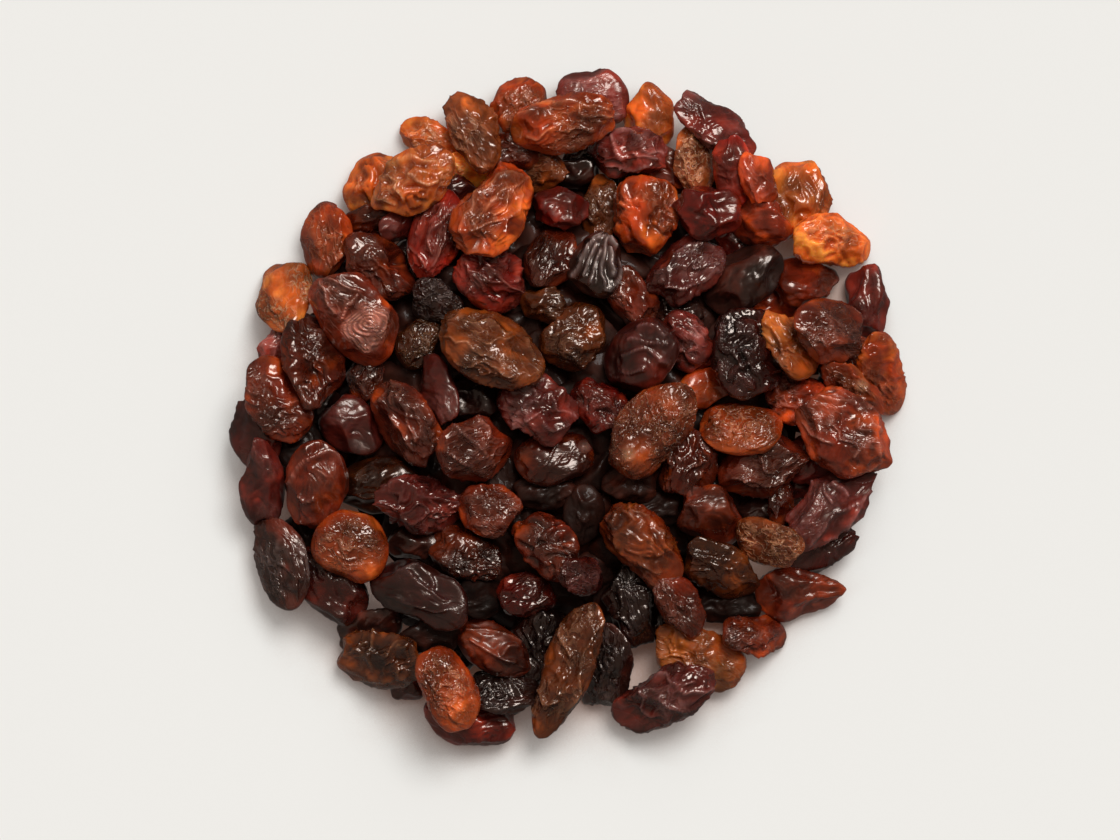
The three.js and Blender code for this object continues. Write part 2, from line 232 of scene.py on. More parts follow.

# The sharp crests of skin on the fruits that show most, by their place in the lists below: the
# corners of each crest, x and y. Then how high and thin the crests are, how deep the trough beside
# them is and how far it reaches, how much calmer the skin is there, how far a crest wanders, and
# how pale its painted highlight is.
CRESTS = {
    73: (
        ((6.3, 35.4), (6.8, 34.1), (7.5, 32.7)),
        ((6.4, 35.6), (8.2, 36.0), (10.0, 35.8), (10.4, 34.9), (10.0, 33.8), (10.9, 33.2), (12.6, 33.6)),
        ((8.7, 33.5), (9.4, 32.9), (12.1, 32.7)),
        ((5.9, 31.5), (7.9, 31.2), (10.0, 31.0), (11.4, 31.5)),
    ),
    74: (
        ((-5.8, 38.1), (-4.0, 39.3), (-1.6, 39.9), (1.0, 39.9), (3.1, 39.2), (5.4, 39.0)),
        ((1.5, 39.4), (2.0, 38.4), (3.9, 37.9), (5.9, 38.1)),
        ((-5.0, 35.7), (-3.4, 35.4), (-2.0, 36.3)),
        ((0.4, 36.3), (1.9, 36.8), (3.6, 36.3)),
    ),
    79: (
        ((-13.9, 26.0), (-15.3, 25.4), (-16.5, 24.4), (-17.6, 22.9), (-18.0, 21.5), (-17.6, 20.0)),
        ((-18.6, 26.6), (-17.4, 26.0), (-16.2, 26.6)),
        ((-19.4, 22.6), (-18.9, 24.2), (-18.1, 25.3)),
        ((-15.9, 23.6), (-16.2, 21.8), (-16.9, 20.0), (-17.8, 18.6)),
        ((-20.1, 20.9), (-19.4, 19.8), (-18.6, 18.2)),
    ),
    84: (
        ((-27.0, 19.3), (-25.8, 20.4), (-24.4, 20.3), (-23.2, 19.2)),
        ((-25.6, 19.6), (-24.9, 18.4), (-24.0, 18.0), (-23.4, 17.2)),
    ),
    85: (
        ((-10.8, 17.3), (-9.8, 16.4), (-8.3, 16.0)),
        ((-10.1, 18.3), (-8.9, 17.1), (-7.4, 16.0), (-6.0, 14.9)),
        ((-13.1, 18.9), (-12.4, 17.7), (-11.3, 17.4)),
        ((-8.1, 20.0), (-8.4, 18.6)),
        ((-6.6, 19.4), (-6.3, 17.8), (-6.5, 16.4)),
    ),
    86: (
        ((5.4, 22.8), (4.2, 22.3), (2.8, 20.7), (1.7, 18.3), (0.9, 16.6)),
        ((4.1, 20.9), (3.2, 19.2), (2.4, 17.2)),
        ((4.7, 19.9), (3.9, 17.9), (3.6, 16.2)),
        ((5.8, 22.5), (5.4, 20.7), (5.2, 19.0), (4.7, 17.0), (5.3, 15.3), (6.3, 15.1), (7.1, 16.3)),
        ((7.1, 16.3), (7.4, 18.0), (7.1, 20.3), (6.1, 22.4)),
        ((6.2, 20.4), (6.2, 18.9), (6.4, 17.8), (6.1, 16.8)),
    ),
    88: (
        ((9.4, 9.9), (10.7, 10.5), (11.9, 10.2), (13.0, 9.2)),
        ((8.8, 8.4), (10.5, 8.0), (12.0, 8.5), (13.4, 8.0)),
        ((7.0, 4.8), (8.3, 4.3), (10.1, 4.1)),
        ((7.6, 6.6), (10.1, 7.0), (12.2, 6.4), (13.6, 5.6)),
    ),
    89: (
        ((14.8, 20.0), (16.2, 21.2), (17.8, 21.5), (19.6, 20.6)),
        ((17.2, 18.2), (18.6, 18.0), (20.2, 18.8)),
        ((13.6, 15.6), (15.4, 15.2), (17.2, 15.8), (18.8, 16.6), (20.2, 17.8)),
        ((12.2, 17.2), (13.8, 18.2), (14.6, 19.8)),
    ),
    94: (
        ((-22.0, 2.2), (-22.1, 1.0), (-21.5, -0.3), (-20.9, -1.5), (-20.1, -3.4), (-19.6, -5.2)),
        ((-24.2, 0.6), (-23.6, 1.7), (-23.0, 1.5), (-23.0, 0.0)),
        ((-23.3, -1.6), (-22.2, -3.5), (-21.1, -5.0), (-19.9, -6.1)),
        ((-19.2, -6.8), (-18.3, -6.5), (-17.6, -5.8)),
    ),
    95: (
        ((-14.2, -2.8), (-13.6, -3.8), (-12.4, -4.6), (-11.4, -5.4), (-10.8, -6.6)),
        ((-11.4, -2.2), (-10.2, -2.9), (-9.8, -4.4)),
        ((-15.4, -6.4), (-14.0, -7.6), (-12.0, -8.2)),
    ),
    96: (
        ((-5.4, 2.0), (-4.7, 2.7), (-3.8, 1.7), (-4.2, 0.5), (-5.0, 0.1)),
        ((-2.9, 0.8), (-2.0, 1.4), (-1.1, 0.8), (-1.0, -0.4), (0.0, -1.0), (1.2, -1.5)),
        ((-2.6, -2.4), (-1.4, -3.2), (0.2, -3.0)),
        ((-5.6, -2.5), (-4.7, -1.9), (-3.7, -1.3)),
        ((-7.0, -3.4), (-7.2, -2.2), (-6.4, -1.0)),
    ),
    97: (
        ((25.4, -7.2), (26.2, -8.5), (28.0, -8.9), (29.6, -8.2), (31.0, -6.6)),
        ((26.6, -5.6), (28.2, -5.0), (29.8, -5.6)),
        ((22.2, -9.6), (24.0, -10.4), (26.4, -10.6), (28.6, -10.0)),
    ),
    100: (
        ((-36.4, -10.4), (-35.6, -8.6), (-34.4, -7.4), (-32.8, -6.6), (-31.2, -6.8), (-30.0, -8.0)),
        ((-35.2, -12.2), (-34.4, -12.9), (-33.4, -12.5)),
        ((-32.4, -8.6), (-31.4, -9.4)),
    ),
    105: (
        ((6.6, -15.0), (7.0, -13.8), (8.0, -14.4), (8.9, -15.3)),
        ((8.4, -13.4), (10.1, -14.3), (11.3, -15.5), (12.6, -16.7), (13.5, -18.1), (14.3, -19.5)),
        ((6.0, -17.4), (7.1, -18.9)),
        ((11.6, -17.8), (11.0, -18.9), (11.9, -20.1), (12.9, -19.6)),
        ((9.9, -20.9), (11.6, -21.7), (12.7, -21.6)),
    ),
    109: (
        ((41.0, -11.6), (39.5, -13.1), (38.0, -15.4), (36.2, -17.5), (34.2, -18.6)),
        ((39.4, -12.9), (37.3, -13.9), (35.8, -14.5), (34.6, -16.0), (33.2, -17.2), (32.4, -18.6)),
        ((35.2, -9.8), (36.1, -10.6), (37.0, -12.0)),
        ((34.5, -10.3), (34.3, -11.9), (35.0, -13.4)),
        ((29.9, -14.5), (31.2, -12.0), (32.6, -10.4)),
    ),
    114: (
        ((15.3, -37.9), (16.2, -38.7), (17.7, -38.2), (19.2, -37.8)),
        ((10.4, -36.8), (13.0, -36.1), (15.0, -37.0), (17.1, -37.0)),
        ((9.6, -37.8), (10.6, -38.9), (10.2, -40.0), (11.5, -41.5)),
        ((12.1, -38.8), (13.6, -40.1), (15.6, -40.5), (17.6, -40.0)),
    ),
    116: (
        ((-25.5, -30.6), (-25.3, -31.9), (-26.5, -33.8), (-25.5, -35.1)),
        ((-23.4, -33.4), (-23.3, -32.2), (-22.7, -31.5), (-21.9, -32.2), (-21.1, -32.0)),
        ((-21.9, -35.2), (-21.8, -36.3), (-20.5, -36.4)),
        ((-28.6, -36.4), (-26.1, -36.4), (-23.1, -36.6)),
        ((-29.0, -33.4), (-27.5, -31.9), (-26.4, -31.6)),
    ),
    117: (
        ((-21.4, -21.8), (-20.0, -23.3), (-17.6, -24.4), (-15.6, -25.8)),
        ((-22.3, -21.7), (-21.0, -21.3), (-19.7, -21.5), (-18.2, -22.4), (-17.9, -23.6)),
        ((-23.2, -25.6), (-20.9, -26.2), (-18.2, -27.1), (-15.6, -27.4)),
    ),
    118: (
        ((-20.9, 30.3), (-19.8, 29.6), (-18.3, 29.0), (-16.8, 29.4)),
        ((-24.6, 31.0), (-23.4, 31.7), (-22.0, 32.2), (-19.7, 32.4), (-17.3, 31.8)),
        ((-24.5, 29.7), (-23.0, 30.3), (-21.9, 29.7), (-22.4, 28.5), (-21.2, 27.0)),
        ((-25.5, 28.3), (-24.3, 27.0), (-22.8, 26.6)),
    ),
    119: (
        ((-9.6, 29.6), (-11.6, 27.8), (-13.1, 25.1), (-13.6, 22.8)),
        ((-4.9, 29.9), (-7.4, 28.6), (-9.3, 26.9), (-11.6, 24.6)),
        ((-9.7, 29.3), (-9.0, 30.3), (-7.0, 30.6), (-5.5, 30.2)),
        ((-5.6, 27.8), (-6.3, 25.4), (-7.8, 24.3), (-9.9, 23.7), (-12.4, 22.8)),
        ((-7.6, 27.2), (-8.5, 26.0), (-9.4, 24.9)),
    ),
    120: (
        ((-31.0, 16.6), (-29.9, 15.9), (-28.4, 15.4), (-26.8, 14.6)),
        ((-32.2, 16.2), (-31.6, 14.1), (-30.7, 12.2)),
        ((-29.6, 11.4), (-29.2, 13.2), (-27.4, 14.2)),
    ),
    121: (
        ((-16.4, 8.7), (-15.2, 9.0), (-14.2, 8.2), (-13.2, 8.1), (-12.0, 6.8), (-10.9, 6.5)),
        ((-13.5, 11.2), (-12.0, 10.9), (-10.0, 10.3), (-8.8, 9.9), (-7.3, 9.1)),
        ((-10.6, 8.6), (-9.4, 7.7), (-8.2, 8.4), (-7.0, 8.4)),
        ((-14.1, 5.8), (-12.6, 5.4), (-10.3, 5.4), (-8.5, 4.7), (-6.4, 3.8)),
        ((-7.3, 10.9), (-6.1, 9.7), (-5.0, 8.2), (-4.1, 6.5)),
    ),
    124: (
        ((33.6, 1.2), (36.5, 0.4), (38.6, -0.2), (39.8, -1.5), (41.0, -3.1), (42.7, -3.8)),
        ((38.3, -2.0), (38.9, -3.1), (40.7, -3.7)),
        ((35.4, -2.6), (36.3, -3.8), (36.5, -5.2), (37.9, -5.5), (38.9, -6.2), (38.2, -7.0)),
        ((31.7, -2.7), (33.6, -4.5), (35.2, -5.6)),
        ((41.0, -5.3), (41.5, -7.2), (40.0, -8.4)),
    ),
    126: (
        ((4.5, -28.2), (3.8, -30.6), (2.3, -32.6), (2.2, -35.6), (2.0, -38.0), (0.2, -40.2)),
        ((-0.7, -29.2), (-0.6, -30.8), (0.3, -32.0), (0.6, -33.2)),
        ((-2.0, -31.8), (-3.2, -35.0), (-4.0, -38.0), (-4.2, -41.2)),
        ((-3.8, -38.2), (-3.0, -38.5), (-2.2, -39.3), (-1.2, -39.6)),
    ),
    127: (
        ((-12.8, -29.8), (-10.9, -29.7), (-8.2, -30.4), (-6.1, -31.8)),
        ((-12.3, -31.3), (-10.6, -32.6), (-8.4, -33.4), (-6.6, -34.4)),
        ((-8.2, -33.2), (-7.6, -32.2), (-6.8, -32.4)),
    ),
}
CREST_HEIGHT = 0.55
CREST_THINNESS = 0.3
TROUGH_DEPTH = 0.35
TROUGH_REACH = 1.3
CREST_CALM = 0.5
CREST_WANDER = 0.3
CREST_HIGHLIGHT = 0.45

# Fruits in the order they fell, one row each: kind, style of skin, how much lighter or darker than
# its kind, x, y, length, width, heading in degrees, and how much the leading end is wider. The
# first ones lie on the floor in the gaps near the heap's rim.
ROW_PARTS = ("kind", "style", "tone", "x", "y", "length", "width", "heading", "taper")
UNDER = [
    ("black", "smooth", -2, -32.3, -0.8, 7, 4.5, 80, 0),
    ("plum", "smooth", -1, 31, -11, 8, 5, 20, 0),
    ("black", "smooth", -2, -14, -33.6, 8, 4.5, 30, 0),
    ("cherry", "smooth", -1, 23.2, 21.2, 7, 4.5, -20, 0),
    ("black", "smooth", -2, 12.6, -29.3, 5.5, 4, 60, 0),
]
LOWER = [
    ("deep", "smooth", -4, -35.5, -5, 9, 6.5, -75, 0),
    ("deep", "smooth", -4, -34.3, -17.5, 7, 6, 30, 0),
    ("plum", "smooth", 1, 33.5, -7, 8.5, 6.5, 20, 0),
    ("black", "smooth", 0, -15, -28.5, 8, 5.5, 0, 0),
    ("amber", "knobby", -1, -25.0, 28.9, 9.2, 8, 50, 0),
    ("amber", "mixed", 1, -17.5, 34.8, 9.5, 4.8, -30, -0.2),
    ("copper", "mixed", -1, -6.3, 39.4, 8.3, 6.8, 50, 0),
    ("plum", "leathery", 3, 3.5, 40.6, 8.6, 7.9, 0, 0),
    ("amber", "smooth", 0, 11.0, 38.1, 8.4, 7.2, 85, -0.2),
    ("russet", "smooth", -1, 14, 30.8, 6.5, 5, -60, 0),
    ("olive", "netted", 4, 17.2, 32.3, 9, 5.5, 90, 0),
    ("amber", "ridged", -1, 30.8, 27.3, 10.4, 8.9, 70, 0),
    ("black", "mixed", 0, 3, 33.5, 7, 4, 30, 0),
    ("black", "smooth", -1, 1.5, 30.5, 6, 4.5, 0, 0),
    ("olive", "mixed", 1, -2.8, 31, 6.5, 5.5, 0, 0),
    ("russet", "mixed", -3, -7, 33.7, 6.5, 5.5, 0, 0),
    ("amber", "mixed", 5, -13, 31, 6, 4.5, -10, 0),
    ("plum", "smooth", -1, -14.8, 28.3, 5.5, 5, 0, 0),
    ("russet", "folded", -4, -26, 23.8, 6.5, 4.5, 10, 0),
    ("plum", "smooth", 2, -22, 23.7, 5.5, 4, 20, 0),
    ("black", "mixed", 0, -21.3, 18.3, 6.5, 4.5, 80, 0),
    ("deep", "smooth", -2, -14.5, 16.5, 6.5, 5, 0, 0),
    ("black", "netted", 1, -17, 13.5, 7, 5.5, -30, 0),
    ("olive", "netted", -2, -19.5, 8, 6.5, 5.5, 60, 0),
    ("russet", "mixed", -3, -26.5, 3.5, 6.5, 5, 90, 0),
    ("plum", "crumpled", 5, -37.3, 8.0, 6.4, 4.8, 20, 0),
    ("plum", "smooth", -1, -41.1, -3.0, 10.6, 6.6, -85, 0),
    ("black", "smooth", -2, -11.5, 0.5, 8, 5.5, 0, 0),
    ("deep", "smooth", -1, -2.8, -11.8, 8.5, 4.5, 0, 0),
    ("deep", "smooth", -2, 2.4, -14.8, 7.5, 5.2, 80, 0),
    ("deep", "smooth", -2, 12.8, -14, 6.5, 4.5, 0, 0),
    ("deep", "smooth", 1, 8.5, -10.8, 7, 5, 0, 0),
    ("russet", "crumpled", -4, 16.2, -8, 8.8, 7.5, 65, 0),
    ("black", "smooth", 1, 25.8, -13.7, 5.5, 4, 0, 0),
    ("russet", "mixed", -5, 28.8, -13.3, 5.5, 4, 90, 0),
    ("russet", "knobby", 4, 30.5, 1, 8.5, 6.5, -30, 0),
    ("russet", "smooth", 4, 28.5, 13.5, 7, 4.5, -10, 0),
    ("russet", "smooth", 0, 31.8, 16.3, 8.7, 7, -15, 0),
    ("plum", "smooth", 2, 40.1, 13.5, 9.5, 6.2, -92, 0),
    ("russet", "mixed", -1, 37, 6.5, 8, 6, 60, 0),
    ("black", "mixed", 0, 15, 12, 7, 4.8, -20, 0),
    ("russet", "folded", -1, 8.8, 14.3, 9.5, 6, -60, 0),
    ("olive", "folded", -2, -2.8, 13.2, 6, 5.5, 0, 0),
    ("russet", "folded", -4, -1.8, 19.3, 8, 6, 60, 0),
    ("olive", "mixed", 0, 4.6, 26, 8.5, 5, 80, 0),
    ("russet", "smooth", 3, 26, 24, 8.5, 6.8, -30, 0),
    ("black", "faceted", 1, 23.8, 16.5, 11.3, 8, 35, 0),
    ("copper", "crossed", -1, 41.9, 4, 10.8, 6, -80, 0),
    ("plum", "smooth", -1, 34.7, -19.3, 11.5, 4.8, 30, 0),
    ("deep", "smooth", -2, 21.5, -26.7, 9, 5, 0, 0),
    ("black", "folded", -3, 8.5, -27, 10.5, 7, -75, 0),
    ("black", "folded", 1, 5.3, -35, 10.8, 6.4, 85, 0),
    ("black", "folded", -3, -3.4, -32.2, 11, 7.5, 75, 0),
    ("deep", "smooth", -5, -11, -25.5, 6.5, 5.5, 0, 0),
    ("black", "smooth", 2, -20, -18.5, 6.5, 5, 0, 0),
    ("deep", "smooth", -1, -18, -31, 7.5, 4.5, 0, 0),
    ("black", "smooth", 3, -26, -30, 9, 5, 20, 0),
    ("plum", "smooth", 0, -21, -37, 5, 5, 0, 0),
    ("cherry", "smooth", -3, -12.6, -41.6, 12, 7.6, -12, 0),
    ("amber", "folded", -4, 17.8, -33.6, 12.5, 8.2, -25, 0),
    ("russet", "smooth", 0, 31.2, -25.2, 11.8, 6.4, 3, -0.55),
    ("plum", "ridged", -3, -31, -24, 11.8, 7, -50, 0),
    ("black", "folded", 3, -37.7, -20.9, 11.6, 7, -72, 0),
    ("olive", "smooth", -6, -25, -10.8, 10.5, 7.2, 10, 0),
    ("plum", "faceted", 1, -40.3, -10.3, 11, 5.5, 95, 0),
    ("amber", "netted", -2, -37.3, 14.4, 9.1, 7, 75, 0),
    ("copper", "mixed", -1, -31.7, 21.6, 9.9, 6.8, 88, 0),
    ("plum", "faceted", -1, -28.3, -3, 8.5, 7.4, -40, 0),
    ("plum", "faceted", 0, -17, 1.8, 9.5, 5, -75, 0),
    ("russet", "ridged", -4, -1.3, -7.2, 10.5, 6.3, 10, 0),
    ("copper", "smooth", -1, 18.8, 2, 7, 5, 10, 0),
    ("cherry", "knobby", -2, 4.6, -0.3, 8.3, 6, -40, 0),
    ("plum", "knobby", 3, 16.2, 8, 8.5, 6.2, -55, 0),
]
MIDDLE = [
    ("plum", "crumpled", 2, 8.4, 33.3, 10.3, 6.5, -5, 0),
    ("copper", "mixed", -1, 0, 37.3, 14.5, 7.4, 10, 0),
    ("olive", "folded", 3, -12.3, 36.1, 10, 7.3, -65, 0),
    ("plum", "ridged", 2, 19.7, 37.0, 12, 5.6, -38, 0),
    ("cherry", "smooth", 1, 22.3, 30.7, 9.5, 4.8, -80, 0),
    ("russet", "ridged", 3, 25.6, 29.8, 7, 4.5, -75, 0),
    ("cherry", "folded", 0, -17.2, 22.3, 12, 6.7, 75, 0),
    ("cherry", "faceted", -1, -0.6, 25.8, 7.3, 5.8, -5, 0),
    ("copper", "knobby", 1, 10.6, 24.8, 10.5, 8.6, 85, 0),
    ("cherry", "smooth", -3, 18.7, 25.5, 9.3, 6.7, -10, 0),
    ("amber", "knobby", 1, 35.3, 21.5, 9.8, 7.3, -5, 0),
    ("russet", "crumpled", -3, -24.8, 18.3, 9.8, 6.6, -40, 0),
    ("cherry", "crumpled", -2, -9.7, 16.8, 9.5, 7.8, -40, 0),
    ("black", "sharp", 2, 4.3, 18.6, 8.8, 6.8, 78, -0.35),
    ("olive", "mixed", -1, 1.4, 8.8, 9.5, 8, 30, 0),
    ("plum", "faceted", -1, 10.2, 6.4, 10.3, 9, 50, 0),
    ("plum", "folded", -1, 16, 17.5, 10.7, 7.4, 40, 0),
    ("plum", "knobby", -4, 24, 6.6, 12.2, 8.5, -82, 0),
    ("amber", "crumpled", -3, 29.8, 8.3, 9, 6, -55, 0),
    ("russet", "mixed", -1, 35, 9.5, 9.5, 7.8, -20, 0),
    ("copper", "folded", -2, 38.3, 1.8, 9.5, 4.8, -42, 0),
    ("russet", "folded", -2, -20.8, -2.6, 12.5, 7.2, -55, 0),
    ("russet", "folded", -1, -12, -6, 9.8, 8, 25, 0),
    ("plum", "crumpled", 1, -3.2, -0.6, 10, 8.7, -30, 0),
    ("russet", "folded", -1, 26.3, -8.4, 11.2, 7.5, 20, 0),
    ("russet", "crossed", -1, -38.0, 0.4, 11.4, 7, -62, 0),
    ("russet", "crumpled", -4, -33.4, 5.7, 11.3, 7.2, -80, 0),
    ("russet", "smooth", 0, -33, -11, 12, 8, 85, 0),
    ("plum", "crumpled", 0, -19, -13.4, 11.2, 7.2, -5, 0),
    ("russet", "mixed", 0, -10, -14, 8, 7, -15, 0),
    ("russet", "mixed", -5, -13.2, -20, 10, 5.8, -25, 0),
    ("russet", "knobby", -1, -2.4, -18.7, 8.8, 7.2, -50, 0),
    ("copper", "crumpled", -4, 9.8, -18.4, 12.7, 7.8, -52, 0),
    ("russet", "smooth", -2, 19.3, -14.9, 9.2, 7.4, -35, 0),
    ("cherry", "crumpled", -5, -5.3, -25.5, 7.5, 5.8, 5, 0),
    ("plum", "mixed", -1, 2, -22.7, 6.5, 5.2, 5, 0),
    ("plum", "leathery", 1, 34.8, -13.7, 14.2, 7.8, 35, 0),
    ("olive", "netted", 3, 26.8, -18.3, 9, 5.8, -20, 0),
    ("olive", "folded", -3, 20.7, -22, 10.5, 6.3, -28, -0.1),
    ("russet", "mixed", -1, 15.3, -26.8, 8.2, 5.4, -60, 0),
    ("russet", "mixed", -1, 25, -30.8, 7.8, 6, -10, 0),
    ("plum", "crumpled", 0, 13.3, -38.8, 13.2, 7.9, 22, 0),
    ("black", "folded", -1, -8.3, -38.2, 9.2, 5.7, -5, 0),
    ("olive", "crumpled", -2, -24.3, -33.8, 11.6, 6.8, -8, 0),
    ("plum", "faceted", -5, -19.2, -25.2, 12.7, 8, -22, 0),
]
UPPER = [
    ("amber", "knobby", -2, -20.3, 29.5, 11.5, 7.6, 35, 0),
    ("copper", "crumpled", 0, -9.5, 25.7, 13, 8.5, 60, 0),
    ("russet", "ringed", 2, -27.8, 11.7, 13.5, 9.3, -50, 0),
    ("olive", "folded", 0, -9.8, 7.3, 15, 9, -28, 0),
    ("copper", "netted", -3, 11.5, -3.3, 14.5, 9.5, 47, 0),
    ("copper", "rimmed", -1, 23.1, -3.3, 10.8, 6.6, -3, 0),
    ("russet", "mixed", 1, 37.2, -4.2, 14.5, 9.2, -35, 0),
    ("copper", "rimmed", -2, -28.3, -18.8, 9.5, 9, -30, 0),
    ("olive", "mixed", 0, 0.2, -35.4, 18, 6.4, 68, 0.1),
    ("russet", "smooth", -3, -9.4, -32.5, 10.7, 6.2, -32, 0),
    ("copper", "rimmed", -1, -15.5, -37.7, 12, 6.9, -65, 0),
]

# The skins' colours as seen: where it is smooth, where it is rough, the painted shade in the
# creases, the painted glow of light shining through, and the painted highlight on ridges, wrinkles
# and rings, which is also the pale colour of stalk scars; then how far light goes in, in
# millimetres, how much of it does, how strong the gloss is, and the roughness.
SKINS = {
    "amber": ((206, 90, 27), (180, 84, 35), (148, 52, 14), (240, 134, 52), (246, 204, 156),
              1.0, 0.5, 1.0, 0.17),
    "copper": ((156, 50, 12), (128, 48, 17), (82, 18, 5), (208, 92, 28), (216, 150, 112),
               0.7, 0.4, 1.0, 0.17),
    "russet": ((100, 27, 9), (86, 29, 13), (40, 9, 4), (156, 56, 16), (178, 126, 110),
               0.6, 0.3, 1.0, 0.18),
    "cherry": ((114, 19, 11), (94, 25, 16), (46, 7, 4), (166, 44, 20), (184, 116, 102),
               0.6, 0.3, 1.0, 0.16),
    "plum": ((66, 16, 11), (76, 32, 27), (30, 7, 4), (98, 27, 16), (150, 108, 102),
             0.4, 0.2, 1.0, 0.18),
    "olive": ((80, 32, 8), (70, 30, 13), (32, 11, 4), (134, 60, 17), (164, 116, 84),
              0.6, 0.3, 1.0, 0.18),
    "black": ((30, 11, 7), (31, 14, 10), (14, 5, 3), (54, 18, 10), (114, 98, 93),
              0.4, 0.1, 1.0, 0.20),
    "deep": ((34, 13, 8), (36, 15, 10), (14, 5, 3), (52, 18, 9), (60, 34, 26),
             0.4, 0.1, 0.3, 0.45),
}

# The gloss and the thin coat on it, how much duller rough skin and the rim are, and how far red,
# green and blue light go in beside each other.
GLOSS_TINT = (1.0, 0.81, 0.69, 1.0)
SKIN_IOR = 1.38
COAT_SHARE = 0.35
COAT_ROUGHNESS = 0.08
ROUGH_DULLNESS = 0.06
RIM_DULLNESS = 0.15
INNER_REACH = (1.0, 0.42, 0.14)

# The spots with a painted glow of light shining through: their size and the range of the noise
# that makes them; and how strong the rim's painted glow is. Then clouds and mottles: their size, the
# noise's detail and range, and how dark and light they get. Then the ridge value at which a crease
# gets painted shade, from none to all.
PAINTED_GLOW_SIZE = 3.5
PAINTED_GLOW_RANGE = (0.52, 0.66)
PAINTED_RIM_GLOW = 0.4
CLOUDS = (2.0, 2, 0.35, 0.65, 0.75, 1.25)
MOTTLES = (5.0, 1, 0.38, 0.62, 0.6, 1.45)
CREASE_SHADE_RANGE = (0.45, 0.1)

# The finest wrinkles: their noise, how wide a wrinkle is in it, and how pale their painted
# highlight is. Then the grain: its size, how strong it is on the smoothest and roughest skin, and
# the depth of both.
WRINKLE_NOISE = {"Scale": 1.0, "Detail": 2, "Roughness": 0.4, "Distortion": 0.8}
WRINKLE_WIDTH = 0.09
WRINKLE_HIGHLIGHT = 0.4
GRAIN_SIZE = 0.6
GRAIN_RANGE = (0.03, 0.18)
FINE_DEPTH = 0.2

# The core's looks, nearly black as painted shade in the heap's gaps, with clouds of the same kind.
CORE_SHADE_COLOUR = (30, 12, 8)
CORE_CLOUDS = (3, 2, 0.3, 0.7, 0.6, 1.4)
CORE_ROUGHNESS = 0.8

# The photo's frame: its width in photo pixels and how many of them one millimetre takes.
PHOTO_WIDTH = 1120
PIXELS_PER_MM = 7.5
VIEW_MIDDLE = (-0.67, -2.13)
CAMERA_HEIGHT = 1200
SENSOR_WIDTH = 36

# The floor: its size in metres, how far it is below the heap, its looks with a painted glow of its
# own that lightens its shadows, and its painted shade: how far it reaches, the side of the sky that
# counts, and how open that is where it is darkest and lightest.
FLOOR_SIZE = 4
FLOOR_DROP = 0.05
FLOOR_COLOUR = (194, 194, 191)
FLOOR_ROUGHNESS = 0.9
PAINTED_FLOOR_GLOW = 0.28
PAINTED_GLOW_COLOUR = (1.0, 0.99, 0.955, 1.0)
SHADE_COLOUR = (0.16, 0.07, 0.045, 1.0)
SHADE_TINT = (0.70, 0.46, 0.38, 1.0)
SHADE_REACH = 12
SHADE_TOWARDS = (0.22, 0.60, 0.77)
SHADE_RANGE = (0.25, 0.75)
SHADE_SAMPLES = 8
WHITE = (1.0, 1.0, 1.0, 1.0)

# The lights: strength, then spread, tilt and turn in degrees, colour, and whether the gloss shows
# them. Then the light from all round.
LIGHTS = {
    "key_light": (2.45, 26, 33, -26, (1, 1, 1), True),
    "soft_light": (0.95, 70, 33, -18, (1, 1, 1), False),
    "fill_light": (0.35, 120, 30, 120, (1.0, 0.80, 0.68), True),
}
WORLD_ZENITH = 0.035
WORLD_EDGE = 0.15
WORLD_COLOUR = (1.0, 0.88, 0.8, 1.0)


def linear(colour):
    """A colour as seen, in steps of 255, as a linear one."""
    share = np.array(colour) / 255
    bright = ((share + 0.055) / 1.055) ** 2.4
    return (*np.where(share > 0.04045, bright, share / 12.92).tolist(), 1.0)


def turned(angle, x, y):
    """A place or a direction, turned round the middle by an angle."""
    return x * np.cos(angle) - y * np.sin(angle), x * np.sin(angle) + y * np.cos(angle)


def soft_share(value):
    """A value as a share: 0 far below 0 and 1 far above it."""
    return 0.5 + 0.5 * np.tanh(value)


def rising(low, share):
    """A share that starts from a low value instead of 0."""
    return low + (1 - low) * share


def on_rings(away):
    """1 at each whole number and 0 midway between, softly."""
    return 0.5 + 0.5 * np.cos(2 * np.pi * away)


def make_fruit(row, index, layer):
    """A fruit's measures, from its row."""
    fruit = dict(zip(ROW_PARTS, row), index=index, layer=layer, phase=index * GOLDEN_ANGLE)
    fruit["angle"] = np.radians(fruit["heading"])
    fruit["thickness"] = min(THICK_SHARE * fruit["width"], THICKEST)
    return fruit


def footprint(fruit):
    """The cells under a fruit: their window in the field, the place along and across the fruit,
    and half its thickness there, which is 0 outside it."""
    reach = fruit["length"] / 2 + CELL
    window = []
    for place in (fruit["y"], fruit["x"]):
        first = int(np.ceil((place - reach + FIELD) / CELL))
        last = int(np.floor((place + reach + FIELD) / CELL))
        window.append(slice(first, last + 1))
    north, east = np.ogrid[tuple(window)]
    north = north * CELL - FIELD - fruit["y"]
    east = east * CELL - FIELD - fruit["x"]
    along, across = turned(-fruit["angle"], east, north)
    end = 2 * along / fruit["length"]
    side = 2 * across / (fruit["width"] * (1 + fruit["taper"] * end))
    inside = np.maximum(1 - np.abs(end) ** SQUARENESS - np.abs(side) ** SQUARENESS, 0)
    half = 0.5 * fruit["thickness"] * inside ** (1 / SQUARENESS)
    return tuple(window), along, across, half


def core_top():
    """The dome that the heap starts from, as heights on a square field of cells."""
    places = np.arange(CELLS) * CELL - FIELD
    distance = np.hypot(places[None, :], places[:, None])
    share = np.minimum(distance / CORE_RADIUS, 1)
    return CORE_HEIGHT * np.sqrt(1 - share**2)


def tilted(fruit, along, across):
    """How much a place on a fruit is raised by the fruit's lean."""
    return fruit["lean_along"] * along + fruit["lean_across"] * across


